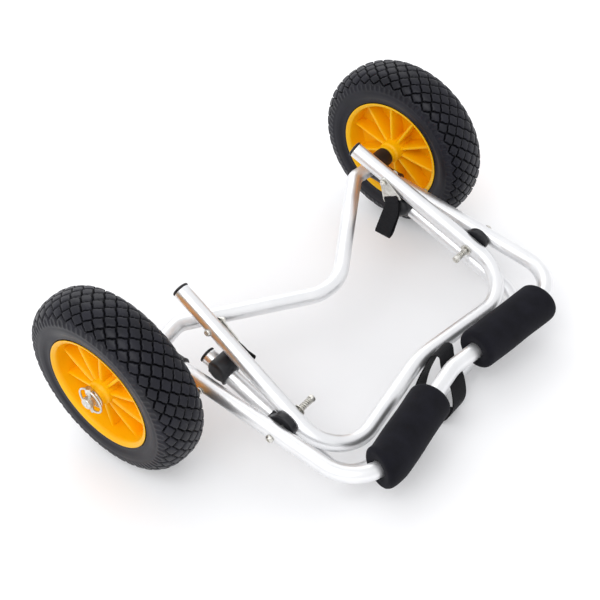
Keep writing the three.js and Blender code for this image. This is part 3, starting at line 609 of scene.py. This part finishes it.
def makeTyre(label, side):
    section, stations = tyreSection()
    slope = unit(np.gradient(section, axis=0))
    outward = np.column_stack([-slope[:, 1], slope[:, 0]])
    outward *= np.sign(outward[len(outward) // 2, 0])
    steps = tyre["cells"] * tyre["perCell"]
    angle = turnAngles(steps)
    depth, paintedGrooveShade = treadCut(angle[None, :], stations[:, None])
    shape = section[:, None, :] - outward[:, None, :] * depth[..., None]
    seat = np.array([[tyre["seatRadius"], -tyre["seatWidth"]], [tyre["seatRadius"], tyre["seatWidth"]]])
    shape = np.concatenate([shape, np.repeat(seat[:, None, :], steps, axis=1)])
    radius, across = shape[..., 0], shape[..., 1] + side * tyre["track"] / 2
    grid = stacked(radius * np.cos(angle), across, radius * np.sin(angle))
    piece = makePiece(*named(label, "tyre"), [gridPart(grid, along=True)], "tyre", sharp=75)
    split = piece.modifiers.new("split", "TRIANGULATE")
    split.quad_method = "SHORTEST_DIAGONAL"  # so both ways of grooves keep straight walls
    # Each point keeps how far into a groove it lies, for the painted shade in the grooves
    layer = piece.data.attributes.new("paintedGrooveShade", "FLOAT", "POINT")
    values = np.vstack([paintedGrooveShade, np.zeros((len(seat), steps))]).ravel().astype(np.float32)
    layer.data.foreach_set("value", values)


makeBoth(makeTyre)
print("stage: tyres made")

# Rims: barrel, dished web, hub with a stepped face, and ten ribs. The hub's steps are radii and
# distances in from its end.
rim = {
    "lip": 83.2, "lipInside": 76.4, "lipWidth": 33.9, "lipEdge": 2.6, "seat": 77.7, "seatWidth": 27.3,
    "wall": 3.4, "web": 2.1, "dish": 5, "hubBack": -42.5, "hubFace": 37.5, "hubFoot": 17.8,
    "hubSteps": [(8.35, 4), (8.35, 0), (14, 0), (14.6, 6), (17, 9)], "rounding": 1.5, "segments": 120,
    "phase": {"left": 18, "right": 28},
}
rib = {
    "count": 10, "from": 14, "to": 75.8, "half": 2.9, "hub": 25, "barrel": 19, "fall": 1.4,
    "roundness": 0.5, "squareness": 0.25, "foot": 1.12, "taper": 0.25, "rows": 9, "points": 28,
}


def rimHalf(way, hubEnd):
    # Half the outline: from the bore over the hub's end, down the dish and up to the lip and seat
    lip, width, edge, inside = rim["lip"], rim["lipWidth"], rim["lipEdge"], rim["seat"] - rim["wall"]
    hub = [(radius, hubEnd - depth * way) for radius, depth in rim["hubSteps"]]
    foot = (rim["hubFoot"], rim["dish"] + rim["web"] * way)
    barrel = [
        (inside, rim["web"]), (inside + 1, rim["seatWidth"]), (rim["lipInside"], width - edge),
        (lip - edge, width), (lip, width), (rim["seat"], rim["seatWidth"]),
    ]
    return [*hub, foot, *((radius, place * way) for radius, place in barrel)]


def rimRib(side, angle):
    # A wall from hub to barrel: its section, a long round-edged slot shape, shortens from 25 to 19
    share = np.linspace(0, 1, rib["rows"])
    radius = rib["from"] + share * (rib["to"] - rib["from"])
    height = rib["hub"] + (rib["barrel"] - rib["hub"]) * share ** rib["fall"]
    turn = turnAngles(rib["points"])
    wide = np.sign(np.cos(turn)) * np.abs(np.cos(turn)) ** rib["roundness"]
    tall = np.sign(np.sin(turn)) * np.abs(np.sin(turn)) ** rib["squareness"]
    width = wide * rib["half"] * (rib["foot"] - rib["taper"] * np.abs(tall))
    out = np.array([math.cos(angle), 0, -math.sin(angle)])
    beside = np.array([math.sin(angle), 0, math.cos(angle)])
    grid = (radius[:, None, None] * out + width[None, :, None] * beside
            + (height[:, None] * tall)[..., None] * np.array([0, 1, 0]))
    return gridPart(grid + np.array([0, side * tyre["track"] / 2, 0]))


def makeRim(label, side):
    outline = eased(rimHalf(-1, rim["hubBack"]) + rimHalf(1, rim["hubFace"])[::-1], rim["rounding"])
    centre = [0, side * tyre["track"] / 2, 0]
    body = turnedPart(outline, centre, [0, side, 0], rim["segments"], closed=True)
    first = -math.radians(rim["phase"][label])
    ribs = [rimRib(side, first + index * 2 * np.pi / rib["count"]) for index in range(rib["count"])]
    makePiece(*named(label, "rim"), [body, *ribs], "rim", sharp=50)


makeBoth(makeRim)
print("stage: rims made")

# Axle ends: stub, hub washer and linch pin with its sprung ring, outlines from the cart's middle
axleEnd = {
    "stub": [(0.3, 225), (8.7, 225), (8.7, 243), (8, 243), (8, 357.5), (6.5, 359), (3.2, 359), (2.2, 357.6),
             (0.3, 357.2)],
    "stubRounding": 0.5,
    "washer": {"inner": 8.35, "outer": 15, "low": 343.3, "high": 345.3, "rounding": 0.4, "segments": 48},
}
linchPin = {
    "at": 350, "ringRadius": 18.5, "wire": 1.5, "ringSteps": 96,
    "pin": [(0.2, -23.5), (1.6, -22.5), (2.5, -19.5), (2.5, 17.5), (0.2, 17.5)], "pinRounding": 0.8,
    "head": [(0.2, 17), (4.5, 17), (4.5, 24), (0.2, 24)], "headRounding": 1.4,
}


def washerPart(sizes, centre, across):
    inner, outer, low, high = (sizes[key] for key in ("inner", "outer", "low", "high"))
    middle = (low + high) / 2
    outline = eased([
        (inner, middle), (inner, low), (outer, low), (outer, high), (inner, high), (inner, middle + 0.01),
    ], sizes["rounding"])
    return turnedPart(outline, centre, across, sizes["segments"], closed=True)


def makeHardware(label, kind, part, sharp=38):
    makePiece(*named(label, kind), [part], "hardware", sharp)


def makeAxleEnd(label, side):
    stub = eased(axleEnd["stub"], axleEnd["stubRounding"])
    makeHardware(label, "axle", turnedPart(stub, [0, 0, 0], [0, side, 0]))
    makeHardware(label, "hub_washer", washerPart(axleEnd["washer"], [0, 0, 0], [0, side, 0]))


def makeLinchPin(label, side):
    centre = np.array([0, side * linchPin["at"], 0])
    turn = turnAngles(linchPin["ringSteps"])
    hoop = stacked(np.cos(turn), 0, np.sin(turn)) * linchPin["ringRadius"] + centre
    ring = carried(hoop, circle(linchPin["wire"], 16), unit(hoop - centre), np.array([[0, 1, 0]]))
    pin = eased(linchPin["pin"], linchPin["pinRounding"])
    head = eased(linchPin["head"], linchPin["headRounding"])
    parts = [gridPart(ring, along=True), turnedPart(pin, centre, [0, 0, 1], segments=24),
             turnedPart(head, centre, [0, 0, 1], segments=32)]
    makePiece(*named(label, "linch_pin"), parts, "hardware", sharp=60)


makeBoth(makeAxleEnd, makeLinchPin)
print("stage: axle ends made")

# Small fastenings
fixings = {
    "hinge": {"shank": 3, "head": 5.5, "headHeight": 4.4, "nut": 5.77, "nutHeight": 5},
    "tie": {"shank": 2.5, "head": 5, "headHeight": 3.6, "nut": 4.62, "nutHeight": 4},
    "gap": 0.3, "hingeEnd": 159.5, "tieAt": 60.5, "tieTail": 2, "lockAt": 85,
    "plateThick": 1.8, "plateTop": 7, "nutFace": 0.85, "nutChamfer": 0.7,
    "button": [(1, 0), (1, 0.45), (0.62, 1), (0.42, 1), (0.38, 0.45)], "socketFloor": 0.4,
    "core": 0.2, "tip": (0.6, 0.8), "rounding": 0.5,
    "washer": {"inner": 3.25, "outer": 8, "rounding": 0.3, "segments": 40}, "washerThick": 1.4,
}
besideTube = legs["tubeRadius"] + fixings["gap"]
spring = {"radius": 4.15, "wire": 0.65, "turns": 7, "perTurn": 28, "closing": 0.055}


def boltPart(sizes, seat, outward, length):
    # A shank with a tapered tip, and a button head with a round socket in shares of the head's size
    shank, head, height, core = sizes["shank"], sizes["head"], sizes["headHeight"], fixings["core"]
    narrower, taper = fixings["tip"]
    outline = [(core, -length), (shank - narrower, -length), (shank, -length + taper), (shank, 0)]
    outline += [(head * out, height * up) for out, up in fixings["button"]]
    outline.append((core, height * fixings["socketFloor"]))
    return turnedPart(eased(outline, fixings["rounding"]), seat, outward, segments=36)


def nutPart(sizes, centre, outward):
    # A hexagon with chamfered corners round its bore
    corner, half, bore = sizes["nut"], sizes["nutHeight"] / 2, sizes["shank"]
    face, edge = corner * fixings["nutFace"], half - fixings["nutChamfer"]
    outline = [(bore, -half), (face, -half), (corner, -edge), (corner, edge), (face, half), (bore, half)]
    hexRows = np.array([False, False, True, True, False, False])
    return turnedPart(outline, centre, outward, hexRows=hexRows, closed=True)


def makeHingeStack(label, side):
    across = np.array([0, side, 0])
    hinge = np.array([legs["hinge"], 0, hingeHeight])
    sizes, gap, end = fixings["hinge"], fixings["gap"], fixings["hingeEnd"]
    outerFace = abs(cradleLeg(side, legs["hinge"])[1]) + besideTube
    bolt = boltPart(sizes, hinge + across * outerFace, across, outerFace - end)
    makeHardware(label, "hinge_bolt", bolt)
    face = legs["frameSpread"] - besideTube - legs["frameToe"] * fixings["washer"]["outer"]
    low = face - fixings["washerThick"]
    washer = {**fixings["washer"], "low": low, "high": face}
    makeHardware(label, "hinge_washer", washerPart(washer, hinge, across))
    nut = nutPart(sizes, hinge + across * (end + gap + sizes["nutHeight"] / 2), across)
    makeHardware(label, "hinge_nut", nut, sharp=30)
    makeSpring(label, side, end + sizes["nutHeight"] + 2 * gap, low - gap)


def makeSpring(label, side, low, high):
    # A helix (R cos t, y, R sin t) whose rise is gentler over its first and last turn
    wire = spring["wire"]
    share = np.linspace(0, 1, spring["turns"] * spring["perTurn"] + 1)
    turn = share * spring["turns"] * 2 * np.pi
    rise = share - spring["closing"] * np.sin(2 * np.pi * share)
    outward = stacked(np.cos(turn), 0, np.sin(turn))
    middle = stacked(legs["hinge"], side * (low + wire + rise * (high - low - 2 * wire)), hingeHeight)
    path = middle + spring["radius"] * outward
    beside = np.cross(unit(np.gradient(path, axis=0)), outward)
    coil = gridPart(carried(path, circle(wire, 12), outward, beside))
    makeHardware(label, "hinge_spring", coil, sharp=70)


def plateFace(side):
    # Where the tie plate lies against the inside of the frame tube
    return abs(frameLeg(side, fixings["tieAt"])[1]) - besideTube - legs["frameToe"] * fixings["plateTop"]


def makeTieBolt(label, side):
    across = np.array([0, side, 0])
    seat = frameLeg(side, fixings["tieAt"])
    sizes, gap, innerFace = fixings["tie"], fixings["gap"], plateFace(side)
    outerFace = abs(seat[1]) + besideTube + legs["frameToe"] * sizes["head"]
    stack = fixings["plateThick"] + gap + sizes["nutHeight"] + fixings["tieTail"]
    middle = seat * [1, 0, 1]
    bolt = boltPart(sizes, middle + across * outerFace, across, outerFace - innerFace + stack)
    makeHardware(label, "tie_bolt", bolt)
    nutAt = innerFace - fixings["plateThick"] - gap - sizes["nutHeight"] / 2
    makeHardware(label, "tie_nut", nutPart(sizes, middle + across * nutAt, across), sharp=30)


def makeLockBolt(label, side):
    across = np.array([0, side, 0])
    seat = cradleLeg(side, fixings["lockAt"]) + across * besideTube
    makeHardware(label, "lock_bolt", boltPart(fixings["tie"], seat, across, 2 * besideTube))


makeBoth(makeHingeStack, makeTieBolt, makeLockBolt)
for label in sides:
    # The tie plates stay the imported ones, in this scene's steel
    plate = frame["nodes"][f"{label}_tie_plate"]
    plate.data.materials.clear()
    plate.data.materials.append(materials["hardware"])
print("stage: fastenings made")

# Moulded fittings: overlapping turned parts and hulls, fused into one skin with soft inner corners
melt = {"voxel": 0.0007, "rounds": 5, "factor": 0.5, "sharp": 60}


def fused(name, nodes, parts):
    points, faces, _ = join(parts)
    rough = addObject(f"{name}Rough", addMesh(f"{name}Rough", points, faces))
    remesh = rough.modifiers.new("fuse", "REMESH")
    remesh.mode = "VOXEL"
    remesh.voxel_size = melt["voxel"]
    relax = rough.modifiers.new("relax", "SMOOTH")
    relax.factor = melt["factor"]
    relax.iterations = melt["rounds"]
    bpy.context.view_layer.update()
    evaluated = rough.evaluated_get(bpy.context.evaluated_depsgraph_get())
    finished = bpy.data.meshes.new_from_object(evaluated)
    bpy.data.objects.remove(rough)
    finishPiece(addObject(name, finished), nodes, "fitting", melt["sharp"])


def hullPart(grids):
    # The tightest skin round two turned slabs
    shell = bmesh.new()
    for point in np.vstack([grid.reshape(-1, 3) for grid in grids]):
        shell.verts.new(point)
    bmesh.ops.convex_hull(shell, input=shell.verts)
    loose = [vertex for vertex in shell.verts if not vertex.link_faces]
    bmesh.ops.delete(shell, geom=loose, context="VERTS")
    shell.verts.index_update()
    points = np.array([vertex.co[:] for vertex in shell.verts])
    faces = [[vertex.index for vertex in face.verts] for face in shell.faces]
    shell.free()
    return points, faces, np.zeros((sum(len(face) for face in faces), 2))


lug = {
    "eye": 17, "thick": 9.4, "sleeve": 13.4, "back": 32, "front": 4, "tail": 0.98, "edge": 4, "gap": 0.4,
    "rounding": 1.4,
}
rods = {"core": 0.3, "segments": 40}


def rod(radius, low, high, edge):
    core = rods["core"]
    return eased([(core, low), (radius, low), (radius, high), (core, high)], edge)


def slab(x, z, side, inner, radius):
    outline = rod(radius, inner, inner + lug["thick"], lug["rounding"])
    return turned(outline, [x, 0, z], [0, side, 0], rods["segments"])


def barPart(start, end, radius, edge=1.0):
    axis = end - start
    return turnedPart(rod(radius, 0, np.linalg.norm(axis), edge), start, axis, rods["segments"])


def makeLug(label, side):
    inner = legs["frameSpread"] + legs["tubeRadius"] + lug["gap"]
    back = standLeg(side, legs["hinge"] - lug["back"])
    front = standLeg(side, legs["hinge"] + lug["front"])
    web = hullPart([
        slab(legs["hinge"], hingeHeight, side, inner, lug["eye"]),
        slab(back[0] + lug["sleeve"], back[2], side, inner, lug["sleeve"] * lug["tail"]),
    ])
    points, faces, uv = barPart(back, front, lug["sleeve"], lug["edge"])
    # Only the outer half of the sleeve is there: its inner half is pressed flat at the tube's middle
    points[:, 1] = side * np.maximum(side * points[:, 1], legs["standSpread"] + lug["gap"])
    fused(*named(label, "stand_lug"), [web, (points, faces, uv)])


tee = {
    "post": [(0.3, 177.5), (9.5, 177.5), (15.5, 183.5), (15.5, 214), (12.5, 217), (0.3, 217)],
    "rounding": 3.6, "steps": 6, "rise": 6, "sleeve": 14.2, "length": 27, "lip": 14.9, "lipWidth": 3,
    "at": {"left": 87, "right": 82},
}


def makeTee(label, side):
    seat = standLeg(side, tee["at"][label])
    along = unit(standLeg(side, 100) - standLeg(side, 0))
    start, end = seat - along * tee["length"] / 2, seat + along * tee["length"] / 2
    post = eased(tee["post"], tee["rounding"], tee["steps"])
    lip = along * tee["lipWidth"]
    fused(*named(label, "stand_tee"), [
        turnedPart(post, [seat[0], 0, seat[2] + tee["rise"]], [0, side, 0]),
        barPart(start, end, tee["sleeve"]),
        barPart(start, start + lip, tee["lip"]), barPart(end - lip, end, tee["lip"]),
    ])


joiner = {
    "inner": 221, "outer": 262, "sleeve": 14.3, "edge": 2, "collar": 15, "collarWidth": 4, "collarEdge": 1,
    "mouth": 45, "socket": 14, "lip": 14.8,
}


def makeConnector(label, side):
    inner, root, mouth = joiner["inner"], cradleLeg(side, 0), cradleLeg(side, joiner["mouth"])
    sleeve = rod(joiner["sleeve"], inner, joiner["outer"], joiner["edge"])
    collar = rod(joiner["collar"], inner, inner + joiner["collarWidth"], joiner["collarEdge"])
    lipStart = mouth - unit(mouth - root) * joiner["collarWidth"]
    fused(*named(label, "connector"), [
        turnedPart(sleeve, [0, 0, 0], [0, side, 0]), turnedPart(collar, [0, 0, 0], [0, side, 0]),
        barPart(root, mouth, joiner["socket"]), barPart(lipStart, mouth, joiner["lip"]),
    ])


makeBoth(makeLug, makeTee, makeConnector)
print("stage: fittings made")

# Foam pads, threaded on the cradle's cross part and pushed a little round its corners. The end
# is half their outline, as (radius, distance in from the end) pairs.
pad = {
    "radius": 29, "bore": 11.3, "length": 134, "end": [(11.3, 6), (11.3, 1.6), (13.3, 0.4), (29, 0)],
    "start": {"left": 60, "right": 43}, "rounding": 8, "roundingSteps": 7, "skinFrom": 13.3,
    "steps": 110, "boreSteps": 30, "boreEnd": 8, "segments": 96, "reach": 2.5,
    "wave": 0.5, "waveTurns": 2, "waveTwist": 2, "waveShift": 1.3, "swells": 1.5, "swellShift": 0.4,
}


def onCradle(distances):
    # Points and ways of the cradle's path at distances from its middle, from a little either side
    path = cradlePath()
    stations = distances + lengths(path)[-1] / 2
    ahead, behind = (pointsAt(stations + shift, path) for shift in (pad["reach"], -pad["reach"]))
    return (ahead + behind) / 2, unit(ahead - behind)


def makePad(label, side):
    length, end = pad["length"], pad["end"]
    far = [(radius, length - inset) for radius, inset in end[::-1]]
    outline = eased(end + far, pad["rounding"], pad["roundingSteps"])
    even = pointsAt(np.linspace(0, lengths(outline)[-1], pad["steps"]), outline)
    # The bore runs on from one end to the other in even steps too
    back = np.linspace(length - pad["boreEnd"], pad["boreEnd"], pad["boreSteps"])
    even = np.vstack([even, stacked(pad["bore"], back)])
    centre, tangent = onCradle(side * (pad["start"][label] + even[:, 1]))
    across = unit(np.cross([0.0, 0.0, 1.0], tangent))
    # Soft foam isn't quite round: the skin sinks by up to 1 mm in slow waves
    turn = turnAngles(pad["segments"])[None]
    along = even[:, 1:] / length * np.pi
    waves = np.sin(pad["waveTurns"] * turn + pad["waveShift"] * side + pad["waveTwist"] * along)
    sink = pad["wave"] * (1 + waves * np.sin(along * pad["swells"] + pad["swellShift"]))
    radius = even[:, :1] - smooth(pad["skinFrom"], pad["radius"], even[:, :1]) * sink
    section = radius[..., None] * circle(1, pad["segments"])
    grid = carried(centre, section, across, np.cross(tangent, across))
    piece = makePiece(*named(label, "foam_pad"), [gridPart(grid, along=True)], "foam", sharp=60)


makeBoth(makePad)
print("stage: pads made")

# Webbing: the tie-down loops and the centre strap
tieLoop = {
    "thick": 1.6, "width": 25, "drop": 50, "belly": 5.5, "bend": 22, "lean": 28, "leanStart": 6,
    "swing": 33, "plateLength": 30, "slotInset": 4, "slotHeight": 4.4,
    "overSteps": 40, "underSteps": 60, "steps": 220,
}
strap = {
    "thick": 1.8, "width": 30, "length": 36, "height": 49, "topSide": 18, "lean": 0.83, "perSpan": 14,
    "ahead": [0, 0.45, 0.86, 0.95, 0.58, 0.25, -0.1, -0.37, -0.63, -0.7, -0.69, -0.4],
    "up": [-0.25, -0.205, -0.09, 0.2, 0.54, 0.69, 0.82, 1, 0.94, 0.64, 0.2, -0.26],
}
tape = {"across": 9, "edge": 0.12, "edgeUv": 1.02, "inset": 0.2}


def tapeStations(width):
    # Places across a tape, up to just inside its edges
    return np.linspace(-1, 1, tape["across"])[None, :] * (width / 2 - tape["inset"])


def bandPart(sizes, faceAt):
    # A tape's closed skin round its loop: two faces, half its thickness out and in, joined at both edges
    outer, inner = faceAt(sizes["thick"] / 2), faceAt(-sizes["thick"] / 2)
    middle = (outer + inner) / 2
    left = middle[:, :1] + (middle[:, :1] - middle[:, 1:2]) * tape["edge"]
    right = middle[:, -1:] + (middle[:, -1:] - middle[:, -2:-1]) * tape["edge"]
    grid = np.concatenate([outer, right, inner[:, ::-1], left], axis=1)
    flat = np.linspace(0, sizes["width"] / 1000, tape["across"])
    u = np.concatenate([flat, [flat[-1] * tape["edgeUv"]], flat[::-1], [0], [0]])
    line = grid[:, tape["across"] // 2]
    return gridPart(grid, along=True, uv=(u, lengths(np.vstack([line, line[:1]])) / 1000))


def loopOutline(top, bottom, spacing):
    # A small arc over the bar, straight sides and a wide arc below, as one closed outline
    lean = math.asin((bottom - top) / spacing)
    over = np.linspace(lean, np.pi - lean, tieLoop["overSteps"])
    under = np.linspace(np.pi - lean, 2 * np.pi + lean, tieLoop["underSteps"])
    rows = np.vstack([
        np.column_stack([top * np.cos(over), top * np.sin(over)]),
        np.column_stack([bottom * np.cos(under), bottom * np.sin(under) - spacing]),
    ])
    rows = np.vstack([rows, rows[:1]])
    stations = np.linspace(0, lengths(rows)[-1], tieLoop["steps"] + 1)[:-1]
    return pointsAt(stations, rows)


def hangingPlace(side, out, up, across):
    # Down the plate first, round a bend that turns it plumb, and leaning in past the tee
    swing, lean = math.radians(tieLoop["swing"]), math.radians(tieLoop["lean"])
    radius = tieLoop["bend"] / swing
    bent = np.clip(-up, 0, tieLoop["bend"])
    angle = swing * (1 - bent / tieLoop["bend"])
    straight = -up - bent
    return stacked(
        radius * (np.cos(angle) - math.cos(swing)) + straight * np.sin(angle) + across * np.cos(angle),
        out - side * np.maximum(-up - tieLoop["leanStart"], 0) * math.tan(lean),
        -radius * (math.sin(swing) - np.sin(angle)) - straight * np.cos(angle) + across * np.sin(angle),
    )


def makeTieLoop(label, side):
    top = (fixings["plateThick"] + tieLoop["thick"]) / 2 + fixings["gap"]
    spacing = tieLoop["drop"] - tieLoop["belly"]
    across = tapeStations(tieLoop["width"])
    seat = frameLeg(side, fixings["tieAt"])
    reach = tieLoop["plateLength"] - tieLoop["slotInset"] - tieLoop["slotHeight"] / 2 + top
    swing = math.radians(tieLoop["swing"])
    y = side * (plateFace(side) - fixings["plateThick"] / 2)
    place = seat * [1, 0, 1] + [reach * math.sin(swing), y, -reach * math.cos(swing)]

    def faceAt(offset):
        outline = loopOutline(top + offset, tieLoop["belly"] + offset, spacing)
        return hangingPlace(side, outline[:, :1], outline[:, 1:], across) + place

    part = bandPart(tieLoop, faceAt)
    makePiece(f"{label}TieLoop", [f"{label}_webbing_loop"], [part], "webbing", sharp=60)


def blend(t, low, high, first, second):
    # From the first at t = low to the second at t = high
    return (high - t) / (high - low) * first + (t - low) / (high - low) * second


def roundLoop(points):
    # A closed curve through every point. Its knots lie apart by the root of each chord, and each
    # span blends three lines a and then two curves b.
    rows = []
    for index in range(len(points)):
        p = [points[(index + k - 1) % len(points)] for k in range(4)]
        chords = [np.linalg.norm(after - before) for before, after in zip(p, p[1:])]
        knots = running(np.sqrt(chords))
        t = np.linspace(knots[1], knots[2], strap["perSpan"] + 1)[:-1, None]
        a = [blend(t, knots[k], knots[k + 1], p[k], p[k + 1]) for k in range(3)]
        b = [blend(t, knots[k], knots[k + 2], a[k], a[k + 1]) for k in range(2)]
        rows.append(blend(t, knots[1], knots[2], *b))
    return np.vstack(rows)


def makeCentreStrap():
    ahead, up = np.array(strap["ahead"]) * strap["length"], np.array(strap["up"]) * strap["height"]
    line = roundLoop(np.column_stack([ahead, up]))
    tangent = unit(np.roll(line, -1, axis=0) - np.roll(line, 1, axis=0))
    outward = np.column_stack([tangent[:, 1], -tangent[:, 0]])
    y = strap["topSide"] + (line[:, 1:] - strap["height"]) * strap["lean"] + tapeStations(strap["width"])
    cross = standLeg(1, stand["corner"]) * [1, 0, 1]

    def faceAt(offset):
        face = line + outward * offset
        return stacked(face[:, :1], y, face[:, 1:]) + cross

    makePiece("centreStrap", ["centre_strap"], [bandPart(strap, faceAt)], "webbing", sharp=60)


makeBoth(makeTieLoop)
makeCentreStrap()
print("stage: webbing made")

# Studio: floor, world, lamps and camera
studio = {
    "floorSize": 12, "floorColour": (0.79, 0.79, 0.8), "floorShade": 0.99, "floorRoughness": 0.6,
    # The glow under the cart is kept low, which paints shade on the floor there
    "floorGlow": 0.34, "underCartPaintedShadeGlow": 0.05, "glowReach": 0.55,
    "worldColour": (0.95, 0.955, 0.97, 1), "worldStrength": 0.88, "seenWorldStrength": 1.02,
    "key": {"place": (0.6, -1.9, 2.6), "size": 2.2, "power": 34},
    "fill": {"place": (-1.9, 1.4, 2.2), "size": 2.4, "power": 18},
}
shot = {
    "place": (787.68, -907.28, 1143.46), "backward": (0.4386, -0.5378, 0.7202),
    "upward": (-0.455, 0.558, 0.694), "lens": 71.45, "sensor": 36,
}


def seenRays(tree):
    # 1 for what the camera sees, straight or in the metal, and 0 for the light that falls on the cart
    path = tree.nodes.new("ShaderNodeLightPath")
    seen = path.outputs["Is Camera Ray"]
    for kind in ("Is Glossy Ray", "Is Transmission Ray"):
        plus = tree.nodes.new("ShaderNodeMath")
        tree.links.new(seen, plus.inputs[0])
        tree.links.new(path.outputs[kind], plus.inputs[1])
        seen = plus.outputs["Value"]
    return seen


def paleFloor():
    # A pale sheet, a little brighter to the camera than the light it gives the cart, less so under it, where
    # the floor stays darker as painted shade
    recipe = Recipe("paleFloor", Roughness=studio["floorRoughness"], Specular_IOR_Level=0.1,
                    Emission_Color=(1, 1, 1, 1))
    pale = studio["floorColour"]
    shaded = [channel * studio["floorShade"] for channel in pale]
    recipe.feed("Base Color", recipe.ramp(recipe.noise(scale=3, detail=2), shaded, pale))
    # The glow fades to its least in the middle, which paints shade on the floor under the cart
    reach = recipe.place((1 / studio["glowReach"],) * 3)
    middle = recipe.add("ShaderNodeTexGradient", {"gradient_type": "SPHERICAL"}, Vector=reach).outputs["Fac"]
    glowWithPaintedShade = recipe.between(middle, studio["floorGlow"], studio["underCartPaintedShadeGlow"])
    recipe.feed("Emission Strength", recipe.maths("MULTIPLY", seenRays(recipe.tree), glowWithPaintedShade))
    return recipe.material


def makeFloor():
    half = studio["floorSize"] / 2
    mesh = bpy.data.meshes.new("floor")
    corners = [(-half, -half, 0), (half, -half, 0), (half, half, 0), (-half, half, 0)]
    mesh.from_pydata(corners, [], [(0, 1, 2, 3)])
    mesh.materials.append(paleFloor())
    floor = addObject("floor", mesh)


def makeWorld():
    world = bpy.data.worlds.new("studio")
    bpy.context.scene.world = world
    world.use_nodes = True
    tree = world.node_tree
    background = tree.nodes["Background"]
    background.inputs["Color"].default_value = studio["worldColour"]
    strength = tree.nodes.new("ShaderNodeMapRange")
    strength.inputs["To Min"].default_value = studio["worldStrength"]
    strength.inputs["To Max"].default_value = studio["seenWorldStrength"]
    tree.links.new(seenRays(tree), strength.inputs["Value"])
    tree.links.new(strength.outputs["Result"], background.inputs["Strength"])


def makeLamp(name):
    settings = studio[name]
    lamp = bpy.data.lights.new(name, "AREA")
    lamp.size = settings["size"]
    lamp.energy = settings["power"]
    holder = addObject(name, lamp)
    holder.location = settings["place"]
    holder.rotation_euler = (-Vector(settings["place"])).to_track_quat("-Z", "Y").to_euler()


def makeCamera():
    # Its place and its ways are the cart's own, so they turn with the cart
    axle, place, backEnd, upEnd = toFloor([
        (0, 0, 0), shot["place"], shot["backward"], shot["upward"],
    ])
    backward = Vector(backEnd - axle).normalized()
    rightward = Vector(upEnd - axle).cross(backward).normalized()
    turn = Matrix((rightward, backward.cross(rightward), backward)).transposed()
    data = bpy.data.cameras.new("camera")
    data.lens = shot["lens"]
    data.sensor_width = shot["sensor"]
    camera = addObject("camera", data)
    camera.matrix_world = Matrix.Translation(place) @ turn.to_4x4()
    bpy.context.scene.camera = camera


makeFloor()
makeWorld()
makeLamp("key")
makeLamp("fill")
makeCamera()
bpy.context.scene.view_settings.view_transform = "Standard"
print("stage: studio ready")
